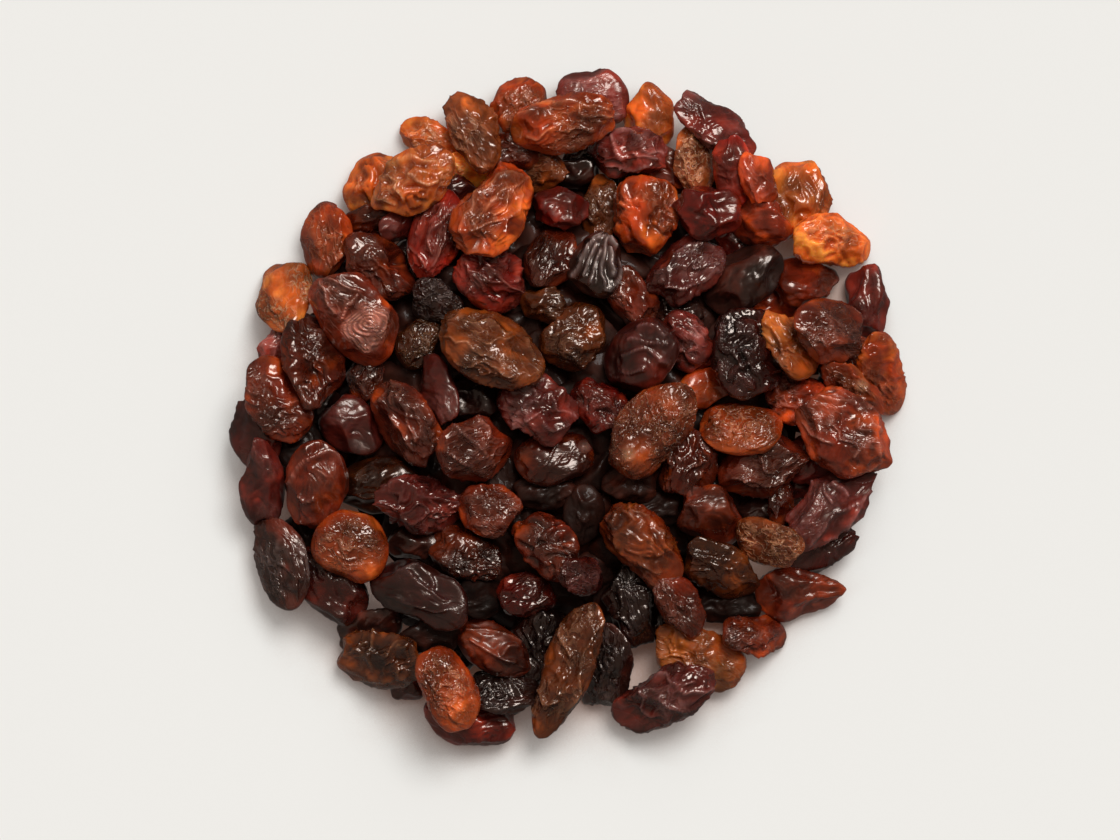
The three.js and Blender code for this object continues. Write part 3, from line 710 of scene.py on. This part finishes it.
def find_lean(held, place, size):
    """How much higher the front half would be held than the rear half, over half the size."""
    ahead = held[place > 0].max(initial=0)
    behind = held[place <= 0].max(initial=0)
    return np.clip(LEAN_SHARE * (ahead - behind) / (size / 2), -STEEPEST, STEEPEST)


def raise_heights(heights, fruit):
    """The heights rise to the top of a fruit that has its place."""
    window, along, across, half = footprint(fruit)
    top = np.where(half > 0, fruit["height"] + tilted(fruit, along, across) + half, 0)
    heights[window] = np.maximum(heights[window], top)


def lay_on_floor(heights, fruit):
    """The fruit lies level on the floor."""
    fruit["lean_along"] = 0
    fruit["lean_across"] = 0
    fruit["height"] = fruit["thickness"] / 2
    raise_heights(heights, fruit)


def settle(heights, fruit):
    """The fruit comes down until it has sunk a little into the highest thing under it,
    but never below the floor."""
    window, along, across, half = footprint(fruit)
    under = half > 0
    held = np.where(under, heights[window] + half, 0)
    fruit["lean_along"] = find_lean(held, along, fruit["length"])
    fruit["lean_across"] = find_lean(held, across, fruit["width"])
    above = half - tilted(fruit, along, across)
    on_heap = (heights[window] + above)[under].max() - SINK
    on_floor = above[under].max()
    fruit["height"] = max(on_heap, on_floor)
    raise_heights(heights, fruit)


def covered(fruits):
    """The cells that any of the fruits covers."""
    cells = np.zeros((CELLS, CELLS), bool)
    for fruit in fruits:
        window, _, _, half = footprint(fruit)
        cells[window] |= half > 0
    return cells


def hidden_ring(shown, lower):
    """The fruits round the core: alternate ones lie nearer and farther and skewed the other way.
    A place that the shown fruits don't cover, or that the lower ones fill, stays empty."""
    hiding = covered(shown)
    filled = covered(lower)
    ring = []
    for place in range(RING_COUNT):
        side = 1 if place % 2 == 0 else -1
        degrees = place * 360 / RING_COUNT
        x, y = turned(np.radians(degrees), RING_RADIUS + side * RING_STAGGER, 0)
        heading = degrees + side * RING_SKEW
        row = ("deep", "mixed", 0, x, y, RING_LENGTH, RING_WIDTH, heading, 0)
        fruit = make_fruit(row, place, "ring")
        window, _, _, half = footprint(fruit)
        under = half > 0
        hidden = (hiding[window] & under).sum() / under.sum()
        taken = (filled[window] & under).sum() / under.sum()
        if hidden > HIDDEN_SHARE and taken < LOWER_SHARE:
            ring.append(fruit)
    return ring


def buried_fruits():
    """The fruits sunk in the core, on a spiral over it. Each has its top in the dome that the
    heap starts from, and leans with it."""
    buried = []
    for place in range(BURIED_COUNT):
        share = BURIED_REACH * np.sqrt((place + 0.5) / BURIED_COUNT)
        angle = place * GOLDEN_ANGLE
        x, y = turned(angle, CORE_RADIUS * share, 0)
        tone = BURIED_TONES[place % len(BURIED_TONES)]
        heading = np.degrees(2 * angle)
        row = ("deep", "smooth", tone, x, y, RING_LENGTH, RING_WIDTH, heading, 0)
        fruit = make_fruit(row, BURIED_FIRST + place, "buried")
        rise = np.sqrt(1 - share**2)
        fall = CORE_HEIGHT / CORE_RADIUS * share / rise
        lean = turned(angle - fruit["angle"], -fall, 0)
        fruit["lean_along"], fruit["lean_across"] = lean
        fruit["height"] = CORE_HEIGHT * rise - fruit["thickness"] / 2
        buried.append(fruit)
    return buried


def wave_field(points, random, wavelength, lengthwise):
    """A smooth random field of about one wavelength: the mean of many plane waves, each with its
    own direction. The lengthwise share turns the directions away from the fruit's long axis, and
    one below 0 turns them towards it."""
    across = 1 + min(lengthwise, 0)
    directions = random.normal(size=(WAVES, 3)) * (1 - max(lengthwise, 0), across, across)
    directions /= np.linalg.norm(directions, axis=1, keepdims=True)
    numbers = 2 * np.pi / (wavelength * random.uniform(*WAVE_SPREAD, (WAVES, 1)))
    phases = random.uniform(0, 2 * np.pi, WAVES)
    return np.cos(points @ (directions * numbers).T + phases).sum(axis=1) * np.sqrt(2 / WAVES)


def line_share(points, random, wavelength, thinness, lengthwise):
    """How much each point is on a line: lines run where a smooth random field crosses 0."""
    field = wave_field(points, random, wavelength, lengthwise)
    return np.exp(-np.sqrt(field**2 + LINE_ROUNDNESS) / thinness)


def hollowed(unit, style, random):
    """How far out the surface is in each direction, as a share of the plain block. Each hollow is
    a bowl facing one direction; the surface is the lowest of the bowls and the block, rounded
    where they meet."""
    count = random.integers(*HOLLOWS)
    z = 1 - 2 * (np.arange(count) + 0.5) / count
    turn = GOLDEN_ANGLE * np.arange(count) + random.uniform(0, 2 * np.pi)
    flat = np.sqrt(1 - z**2)
    faces = np.stack([flat * np.cos(turn), flat * np.sin(turn), z], axis=1)
    faces += random.normal(scale=HOLLOW_SCATTER, size=faces.shape)
    faces /= np.linalg.norm(faces, axis=1, keepdims=True)
    shrunk = style["hollows"] * random.uniform(*HOLLOW_SPREAD)
    bottoms = 1 - shrunk * random.uniform(*HOLLOW_DEPTH, count)
    towards = np.maximum(unit @ faces.T, 0) ** HOLLOW_STEEPNESS / bottoms
    reach = (1 + (towards ** style["edges"]).sum(axis=1)) ** (-1 / style["edges"])
    return reach / reach.mean() ** SHRINKING


def add_rings(points, moved, fruit, depth, skin):
    """The rings take the place of the skin's other lines near their middle, with a painted highlight on
    them and painted shade in the grooves between them. The depth and the skin are changed where they
    are."""
    middle, reach, spacing = RINGS[fruit["index"]]
    away = points + RINGS_WANDER * (moved - points) - (*middle, points[:, 2].max())
    away = np.linalg.norm(away, axis=1)
    ring = on_rings(away / spacing)
    near = np.clip(reach - away, 0, 1)
    # Painted highlight on the rings, painted shade in the grooves between them.
    pale = STYLES[fruit["style"]]["pale"] * rising(RINGS_HIGHLIGHT_BETWEEN, ring**4)
    depth += near * (RINGS_DEPTH * (1 - ring) - depth)
    skin["ridge"] += near * (rising(RINGS_BETWEEN, ring) - skin["ridge"])
    skin["bloom"] += near * (1 - skin["bloom"])
    skin["pale"] += near * (pale - skin["pale"])


def crest_shares(points, fruit):
    """How much each point is on a crest of the fruit, and how near it is to one: both fall off
    with the distance from the nearest straight stretch of a crest, seen from above."""
    place = np.stack(turned(fruit["angle"], points[:, 0], points[:, 1]), axis=1)
    place += (fruit["x"], fruit["y"])
    distance = np.full(len(points), np.inf)
    for crest in CRESTS[fruit["index"]]:
        for start, end in zip(crest, crest[1:]):
            stretch = np.subtract(end, start)
            ahead = place - start
            share = np.clip(ahead @ stretch / (stretch @ stretch), 0, 1)
            off = np.linalg.norm(ahead - share[:, None] * stretch, axis=1)
            distance = np.minimum(distance, off)
    top = points[:, 2] > 0
    return top * np.exp(-distance / CREST_THINNESS), top * np.exp(-(distance / TROUGH_REACH) ** 2)


def add_crests(points, fruit, depth, skin):
    """The skin rises in crests with a painted highlight, and a trough beside them that gets painted
    shade, more of it the paler the style. It is calmer there. The depth and the skin are changed
    where they are."""
    on_crest, near = crest_shares(points, fruit)
    pale = STYLES[fruit["style"]]["pale"]
    depth *= 1 - CREST_CALM * near
    depth += TROUGH_DEPTH * near * (1 - on_crest) - CREST_HEIGHT * on_crest
    # Painted shade in the trough, painted highlight on the crest.
    skin["ridge"] *= 1 - pale * near * (1 - on_crest)
    skin["ridge"] = np.maximum(skin["ridge"], on_crest)
    skin["pale"] = np.maximum(skin["pale"], max(CREST_HIGHLIGHT, pale) * on_crest**3)


def skin_relief(points, faces_up, fruit, random):
    """How deep the skin is sunk at each point, how much of a ridge it is on, which sets how much painted
    shade its creases get, how rough the patch of skin round it is, which is more likely where it faces
    up, how pale its painted highlights are, and how strong the painted glow of light shining through
    it is at the rim. The points are first shifted by slow fields, so the lines wander. Rings and
    crests that a fruit has of its own come last."""
    style = STYLES[fruit["style"]]
    shift = [wave_field(points, random, WARP_WAVELENGTH, 0) for _ in range(3)]
    moved = points + WARP_SIZE * np.stack(shift, axis=1)
    patch = wave_field(points, random, PATCH_WAVELENGTH, 0)
    sharpness, upward, likely = RIMMED_PATCHES if fruit["style"] == "rimmed" else PATCHES
    bloom = soft_share(sharpness * patch + upward * faces_up + likely + style["rough"])
    # The rim gets a painted glow of light shining through where the skin is smooth and faces sideways.
    rim = (1 - bloom) * np.clip(RIM_START - RIM_FADE * faces_up, 0, 1)
    folded = soft_share(FOLD_PATCHES * wave_field(points, random, PATCH_WAVELENGTH, 0))
    on_fold = line_share(moved, random, FOLDS[0], FOLDS[2], style["run"])
    in_crease, on_net = (
        line_share(moved, random, wavelength, thinness, lengthwise)
        for wavelength, _, thinness, lengthwise in (CREASES, NET)
    )
    in_gap = soft_share(-KNOB_WALLS * wave_field(moved, random, KNOB_WAVELENGTH, 0) - KNOB_SIZE)
    strength = random.uniform(*LINE_SPREAD, 4)
    outside = rising(FOLDS_OUTSIDE, folded)
    depth = style["folds"] * strength[0] * FOLDS[1] * outside * (1 - on_fold)
    depth += style["knobs"] * strength[1] * KNOB_DEPTH * in_gap
    depth += style["creases"] * strength[2] * CREASES[1] * in_crease
    depth += style["net"] * strength[3] * NET[1] * rising(NET_OUTSIDE, bloom) * (1 - on_net)
    # Sunk places, pits and creases, get painted shade in the skin's colour.
    sunk = np.minimum(KNOB_SHADE * style["knobs"] * in_gap + style["creases"] * in_crease, 1)
    fold = style["folds"] * on_fold
    net = style["net"] * on_net
    # Raised folds and net get a painted highlight.
    crest = np.clip((fold + HIGHLIGHT_NET * net - HIGHLIGHT_FROM) / HIGHLIGHT_RANGE, 0, 1)
    skin = {
        "ridge": (1 - sunk) * rising(PLAIN_RIDGE, np.minimum(fold + net, 1)),
        "bloom": bloom,
        "pale": style["pale"] * (1 - sunk) * crest**2 * rising(HIGHLIGHT_OUTSIDE, bloom),
        "rim": rim,
    }
    if fruit["index"] in RINGS:
        add_rings(points, moved, fruit, depth, skin)
    if fruit["index"] in CRESTS:
        add_crests(points + CREST_WANDER * (moved - points), fruit, depth, skin)
    return depth, skin


def round_directions(rows, sides):
    """Directions from a fruit's middle: rows of them from end to end, with a number of sides, and
    closer together where they point up. The first and the last direction are the two ends."""
    step = 2 * np.pi * np.arange(sides) / sides
    around = step - CROWDING * np.sin(step)
    share = np.arange(1, rows) / rows
    polar = np.pi * share + EVENNESS * np.sin(2 * np.pi * share)
    body = np.stack([
        np.repeat(np.cos(polar), sides),
        -np.outer(np.sin(polar), np.sin(around)).ravel(),
        np.outer(np.sin(polar), np.cos(around)).ravel(),
    ], axis=1)
    return np.concatenate([[[1, 0, 0]], body, [[-1, 0, 0]]])


def add_spots(placed, fruit, skin):
    """The fruit's spots get a painted glow of light shining through, and calmer skin."""
    for x, y, radius in LIT_THROUGH_SPOTS.get(fruit["index"], ()):
        away = np.hypot(placed[:, 0] - x, placed[:, 1] - y) / radius
        near = np.clip(SPOT_WIDTH - away, 0, 1)
        skin["rim"] = np.maximum(skin["rim"], SPOT_GLOW * near)
        skin["bloom"] *= 1 - SPOT_CALM * near


def add_scar(placed, above, fruit, skin):
    """The scar of the stalk, on the fruit's upper side: a ring of skin round a knob."""
    x, y, radius = SCARS[fruit["index"]]
    away = np.hypot(placed[:, 0] - x, placed[:, 1] - y) / radius
    near = np.clip(SCAR_WIDTH - away, 0, 1) * above
    placed[:, 2] += SCAR_HEIGHT * near * on_rings(away)
    skin["pale"] = np.maximum(skin["pale"], SCAR_PALENESS * near)


def fruit_surface(fruit):
    """A closed wrinkled surface. Directions from the fruit's middle go out to a rounded block,
    which has hollows, swells and bends softly, and sinks in by the depth of its skin."""
    style = STYLES[fruit["style"]]
    spacing = SPACING[fruit["layer"]]
    length, width, thickness = fruit["length"], fruit["width"], fruit["thickness"]
    sides = int(np.pi * (width + thickness) / 2 * (1 - CROWDING) / spacing)
    rows = int(WAY_OVER * length * (1 - 2 * EVENNESS) / spacing)
    unit = round_directions(rows, sides)
    more = RING_SEEDS if fruit["layer"] == "ring" else 0
    random = np.random.default_rng(FIRST_SEED + fruit["index"] + more)
    reach = hollowed(unit, style, random)
    block = (np.abs(unit) ** SQUARENESS).sum(axis=1, keepdims=True)
    unit = unit * block ** (-1 / SQUARENESS)
    phases = fruit["phase"] * np.array([1, 2, 3])
    swell = 1 + LUMP_SHARE * np.sin(unit * LUMP_WAVES + phases).mean(axis=1)
    half_sizes = 0.5 * np.array([length, width, thickness])
    points = unit * (swell * reach)[:, None] * half_sizes
    points[:, 1] *= 1 + fruit["taper"] * unit[:, 0]
    bend = BEND_SHARE * np.sin(fruit["phase"]) * (unit[:, 0] ** 2 - BEND_MIDDLE)
    points[:, 1] += 0.5 * width * bend
    outward = np.sign(unit) * np.abs(unit) ** (SQUARENESS - 1) / half_sizes
    outward /= np.linalg.norm(outward, axis=1, keepdims=True)
    faces_up = np.abs(outward[:, 2])
    depth, skin = skin_relief(points, faces_up, fruit, random)
    depth *= rising(SIDE_SHARE, faces_up) * (1 - END_CALM * outward[:, 0] ** 2)
    points += outward * (depth.mean() - depth)[:, None]
    along, across, up = points.T
    east, north = turned(fruit["angle"], along, across)
    floating = fruit["height"] + tilted(fruit, along, across) + up
    placed = np.stack([fruit["x"] + east, fruit["y"] + north, np.maximum(floating, 0)], axis=1)
    facing = np.stack(turned(fruit["angle"], outward[:, 0], outward[:, 1]), axis=1)
    # The rim's painted glow is strongest on the side away from the light.
    skin["rim"] *= np.clip(RIM_SIDE * (1 + facing @ AWAY_FROM_LIGHT), 0, 1)
    add_spots(placed, fruit, skin)
    if fruit["index"] in SCARS:
        add_scar(placed, up > 0, fruit, skin)
    skin["fine"] = style["fine"] * rising(FINE_OUTSIDE, skin["bloom"])
    skin["own_place"] = points * (style["drawn"], 1, 1) + random.uniform(0, NOISE_REACH, 3)
    skin["tone"] = np.full(len(placed), TONE_STEP ** fruit["tone"])
    skin["dull"] = np.full(len(placed), style["dull"])
    return placed, skin, closed_grid(rows - 1, sides)


def closed_grid(rows, sides):
    """The triangles of a tube of `rows` rings with a fan at each end; the first point is the end
    before the first ring, the last is the end after the last one."""
    place = 1 + np.arange(rows * sides).reshape(rows, sides)
    here, there = place[:-1], place[1:]
    here_next, there_next = np.roll(here, -1, axis=1), np.roll(there, -1, axis=1)
    first = place[0]
    last = place[-1]
    tail = rows * sides + 1
    return np.concatenate([
        np.stack([here, there, there_next], axis=-1).reshape(-1, 3),
        np.stack([here, there_next, here_next], axis=-1).reshape(-1, 3),
        np.stack([np.zeros_like(first), first, np.roll(first, -1)], axis=-1),
        np.stack([np.full_like(last, tail), np.roll(last, -1), last], axis=-1),
    ])


def add_object(name, data):
    """A new object in the scene."""
    added = bpy.data.objects.new(name, data)
    bpy.context.collection.objects.link(added)
    return added


def add_piece(name, points, triangles, attributes, material):
    """A mesh object from points in millimetres. Each attribute is one number or one place for
    each point."""
    mesh = bpy.data.meshes.new(name)
    mesh.vertices.add(len(points))
    mesh.vertices.foreach_set("co", (points * MM).ravel())
    mesh.loops.add(triangles.size)
    mesh.loops.foreach_set("vertex_index", triangles.ravel())
    mesh.polygons.add(len(triangles))
    mesh.polygons.foreach_set("loop_start", np.arange(0, triangles.size, 3))
    mesh.update(calc_edges=True)
    mesh.shade_smooth()
    for key, values in attributes.items():
        if values.ndim == 1:
            mesh.attributes.new(key, "FLOAT", "POINT").data.foreach_set("value", values)
        else:
            layer = mesh.attributes.new(key, "FLOAT_VECTOR", "POINT")
            layer.data.foreach_set("vector", values.ravel())
    mesh.materials.append(material)
    piece = add_object(name, mesh)
    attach(piece, "root")
    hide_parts("sultana_heap")


def add_fruits(kind, fruits):
    """All the fruits of one kind as one piece."""
    points, triangles, skins = [], [], []
    first = 0
    for fruit in fruits:
        placed, skin, faces = fruit_surface(fruit)
        points.append(placed)
        triangles.append(faces + first)
        skins.append(skin)
        first += len(placed)
    attributes = {key: np.concatenate([skin[key] for skin in skins]) for key in skins[0]}
    add_piece(
        f"{kind}_sultanas",
        np.concatenate(points),
        np.concatenate(triangles),
        attributes,
        skin_material(kind),
    )


def add_core():
    """The heap's hidden middle: a dome and a low skirt round it, whichever is higher, on a flat
    base. It lies a little lower than the tops of the fruits sunk in it."""
    radius = CORE_RADIUS + CORE_SKIRT
    share = np.arange(1, CORE_RINGS + 1) / CORE_RINGS
    turn = 2 * np.pi * np.arange(CORE_SIDES) / CORE_SIDES
    x = radius * np.outer(share, np.cos(turn))
    y = radius * np.outer(share, np.sin(turn))
    within = np.minimum(share * radius / CORE_RADIUS, 1)
    dome = CORE_HEIGHT * np.sqrt(1 - within**2) - CORE_DEPTH
    skirt = CORE_SKIRT_HEIGHT * np.sqrt(1 - share**4)
    z = np.repeat(np.maximum(dome, skirt), CORE_SIDES).reshape(CORE_RINGS, CORE_SIDES)
    top = np.stack([x, y, z], axis=-1).reshape(-1, 3)
    points = np.concatenate([[[0, 0, CORE_HEIGHT - CORE_DEPTH]], top, [[0, 0, 0]]])
    add_piece("heap_core", points, closed_grid(CORE_RINGS, CORE_SIDES), {}, core_material())


class Nodes:
    """The node tree of a material or of the world, built node by node."""

    def __init__(self, owner, shader="Principled BSDF"):
        owner.use_nodes = True
        self.tree = owner.node_tree
        self.shader = self.tree.nodes[shader]

    def fill(self, node, values):
        """Gives sockets of a node, by name or number, a number, a colour or another node's
        value."""
        for key, value in values.items():
            if isinstance(value, bpy.types.NodeSocket):
                self.tree.links.new(value, node.inputs[key])
            else:
                node.inputs[key].default_value = value

    def add(self, kind, values, **settings):
        node = self.tree.nodes.new(kind)
        for key, value in settings.items():
            setattr(node, key, value)
        self.fill(node, values)
        return node

    def attribute(self, name):
        return self.add("ShaderNodeAttribute", {}, attribute_name=name).outputs["Fac"]

    def math(self, operation, *values):
        values = dict(enumerate(values))
        return self.add("ShaderNodeMath", values, operation=operation).outputs[0]

    def mix(self, share, first, second, blend="MIX"):
        """Two colours mixed."""
        values = {0: share, 6: first, 7: second}
        settings = {"data_type": "RGBA", "blend_type": blend}
        return self.add("ShaderNodeMix", values, **settings).outputs[2]

    def range(self, value, low, high, to_low=0.0, to_high=1.0):
        """A value's range from low to high turned into another range."""
        values = {"Value": value, "From Min": low, "From Max": high,
                  "To Min": to_low, "To Max": to_high}
        return self.add("ShaderNodeMapRange", values).outputs["Result"]

    def noise(self, size, detail):
        """Noise of Object coordinates with spots of about one size, in millimetres."""
        place = self.add("ShaderNodeTexCoord", {}).outputs["Object"]
        values = {"Vector": place, "Scale": 1 / (size * MM), "Detail": detail}
        return self.add("ShaderNodeTexNoise", values).outputs["Fac"]

    def uneven(self, size, detail, low, high, darkest, lightest):
        """Clouds of noise, as how much darker or lighter they make a colour."""
        return self.range(self.noise(size, detail), low, high, darkest, lightest)

    def wrinkles(self):
        """Winding ridges, 1 on a ridge and 0 between: they run where noise crosses its middle.
        The noise lies in each fruit's own frame."""
        place = self.add("ShaderNodeAttribute", {}, attribute_name="own_place").outputs["Vector"]
        noise = self.add("ShaderNodeTexNoise", {"Vector": place, **WRINKLE_NOISE}).outputs["Fac"]
        off = self.math("ABSOLUTE", self.math("SUBTRACT", noise, 0.5))
        return self.range(off, 0.0, WRINKLE_WIDTH, 1.0, 0.0)


def skin_material(kind):
    """A wrinkled, slightly see-through skin: deep and glossy where it is smooth, with a painted glow of
    light shining through in spots and at the rim, duller where it is finely wrinkled, with painted
    shade in its creases, painted highlights on its ridges and pale stalk scars."""
    smooth, rough, crease_shade, shine_through_colour, pale, depth, share, gloss, roughness = SKINS[kind]
    material = bpy.data.materials.new(f"{kind}_skin")
    nodes = Nodes(material)
    bloom = nodes.attribute("bloom")
    fine = nodes.attribute("fine")
    rim = nodes.attribute("rim")
    on_wrinkle = nodes.math("MULTIPLY", nodes.wrinkles(), fine)
    # Painted glow of light shining through, in noise spots and at the rim.
    shine_through = nodes.range(nodes.noise(PAINTED_GLOW_SIZE, 1), *PAINTED_GLOW_RANGE)
    shine_through = nodes.math("MAXIMUM", shine_through, nodes.math("MULTIPLY", rim, PAINTED_RIM_GLOW))
    colour = nodes.mix(shine_through, linear(smooth), linear(shine_through_colour))
    colour = nodes.mix(bloom, colour, linear(rough))
    # Painted shade in the creases.
    crease_shading = nodes.range(nodes.attribute("ridge"), *CREASE_SHADE_RANGE)
    colour = nodes.mix(crease_shading, colour, linear(crease_shade))
    # Painted highlights on the finest wrinkles, ridges, crests and rings, and the pale stalk scars.
    highlight_and_scar_paleness = nodes.math("MULTIPLY", on_wrinkle, WRINKLE_HIGHLIGHT)
    highlight_and_scar_paleness = nodes.math("MAXIMUM", highlight_and_scar_paleness, nodes.attribute("pale"))
    colour = nodes.mix(highlight_and_scar_paleness, colour, linear(pale))
    uneven = nodes.math("MULTIPLY", nodes.uneven(*CLOUDS), nodes.uneven(*MOTTLES))
    colour = nodes.mix(1.0, colour, uneven, "MULTIPLY")
    colour = nodes.mix(1.0, colour, nodes.attribute("tone"), "MULTIPLY")
    dull = nodes.range(bloom, 0, 1, roughness, roughness + ROUGH_DULLNESS)
    dull = nodes.math("ADD", dull, nodes.attribute("dull"))
    dull = nodes.math("ADD", dull, nodes.range(rim, 0, 1, 0, RIM_DULLNESS))
    grain = nodes.math("MULTIPLY", nodes.noise(GRAIN_SIZE, 2), nodes.range(fine, 0, 1, *GRAIN_RANGE))
    height = nodes.math("ADD", on_wrinkle, grain)
    bump = {"Strength": 1.0, "Distance": FINE_DEPTH * MM, "Height": height}
    normal = nodes.add("ShaderNodeBump", bump).outputs["Normal"]
    nodes.fill(nodes.shader, {
        "Base Color": colour,
        "Roughness": dull,
        "Subsurface Weight": share,
        "Subsurface Radius": INNER_REACH,
        "Subsurface Scale": depth * MM,
        "IOR": SKIN_IOR,
        "Specular IOR Level": gloss,
        "Specular Tint": GLOSS_TINT,
        "Coat Weight": COAT_SHARE * gloss,
        "Coat Roughness": COAT_ROUGHNESS,
        "Normal": normal,
        "Coat Normal": normal,
    })
    return material


def core_material():
    """What lies deep in the heap: nearly black as painted shade for the gaps, without gloss."""
    material = bpy.data.materials.new("deep_painted_shade")
    nodes = Nodes(material)
    colour = nodes.mix(1.0, linear(CORE_SHADE_COLOUR), nodes.uneven(*CORE_CLOUDS), "MULTIPLY")
    nodes.fill(nodes.shader, {
        "Base Color": colour,
        "Roughness": CORE_ROUGHNESS,
        "Specular IOR Level": 0.0,
    })
    return material


def add_floor():
    """A plain pale floor with a painted glow of its own, which the gloss on the fruits doesn't mirror.
    Where the fruits hide the light's side of the sky it gets painted shade, darker and warm from
    their colour."""
    half = FLOOR_SIZE / 2
    low = -FLOOR_DROP * MM
    mesh = bpy.data.meshes.new("floor")
    corners = [(-half, -half, low), (half, -half, low), (half, half, low), (-half, half, low)]
    mesh.from_pydata(corners, [], [(0, 1, 2, 3)])
    material = bpy.data.materials.new("floor_paper")
    nodes = Nodes(material)
    towards = nodes.add("ShaderNodeCombineXYZ", dict(enumerate(SHADE_TOWARDS))).outputs[0]
    sky = {"Distance": SHADE_REACH * MM, "Normal": towards}
    sky = nodes.add("ShaderNodeAmbientOcclusion", sky, samples=SHADE_SAMPLES)
    openness = nodes.range(sky.outputs["AO"], *SHADE_RANGE)
    # Painted shade: darker and warmer where the sky is less open.
    tint = nodes.mix(openness, SHADE_TINT, WHITE)
    nodes.fill(nodes.shader, {
        "Base Color": nodes.mix(1.0, linear(FLOOR_COLOUR), tint, "MULTIPLY"),
        "Emission Color": nodes.mix(openness, SHADE_COLOUR, PAINTED_GLOW_COLOUR),
        "Emission Strength": PAINTED_FLOOR_GLOW,
        "Roughness": FLOOR_ROUGHNESS,
        "Specular IOR Level": 0.0,
    })
    mesh.materials.append(material)
    floor = add_object("floor", mesh)
    floor.visible_glossy = False


def add_camera():
    """Straight above the heap with a long lens, framed as the photo is."""
    width = PHOTO_WIDTH / PIXELS_PER_MM
    data = bpy.data.cameras.new("camera")
    data.sensor_width = SENSOR_WIDTH
    data.lens = SENSOR_WIDTH * CAMERA_HEIGHT / width
    camera = add_object("camera", data)
    camera.location = (VIEW_MIDDLE[0] * MM, VIEW_MIDDLE[1] * MM, CAMERA_HEIGHT * MM)
    bpy.context.scene.camera = camera


def add_sun(name, strength, spread, tilt, turn, colour, in_gloss):
    """A soft light from far away, tilted from straight above towards +Y and then turned round +Z.
    The gloss shows it or not."""
    data = bpy.data.lights.new(name, "SUN")
    data.energy = strength
    data.color = colour
    data.angle = np.radians(spread)
    light = add_object(name, data)
    light.rotation_euler = (np.radians(-tilt), 0, np.radians(turn))
    light.visible_glossy = in_gloss


def add_world():
    """Dim light from all round: darker above, lighter towards the horizon."""
    world = bpy.data.worlds.new("studio")
    bpy.context.scene.world = world
    nodes = Nodes(world, "Background")
    place = nodes.add("ShaderNodeTexCoord", {}).outputs["Generated"]
    up = nodes.add("ShaderNodeSeparateXYZ", {0: place}).outputs["Z"]
    strength = nodes.range(up, 0.0, 1.0, WORLD_EDGE, WORLD_ZENITH)
    nodes.fill(nodes.shader, {"Strength": strength, "Color": WORLD_COLOUR})


def build_heap():
    """Settles the fruits in their order and makes one piece for each kind, over the core."""
    under = [make_fruit(row, UNDER_FIRST + place, "lower") for place, row in enumerate(UNDER)]
    shown = []
    for layer, rows in (("lower", LOWER), ("middle", MIDDLE), ("upper", UPPER)):
        for row in rows:
            shown.append(make_fruit(row, len(shown), layer))
    ring = hidden_ring(shown, shown[:len(LOWER)])
    heights = core_top()
    for fruit in ring + under:
        lay_on_floor(heights, fruit)
    for fruit in shown:
        settle(heights, fruit)
    fruits = buried_fruits() + ring + under + shown
    for kind in SKINS:
        add_fruits(kind, [fruit for fruit in fruits if fruit["kind"] == kind])
    add_core()


build_heap()
add_floor()
add_camera()
for name, settings in LIGHTS.items():
    add_sun(name, *settings)
add_world()
bpy.context.scene.view_settings.view_transform = "Standard"
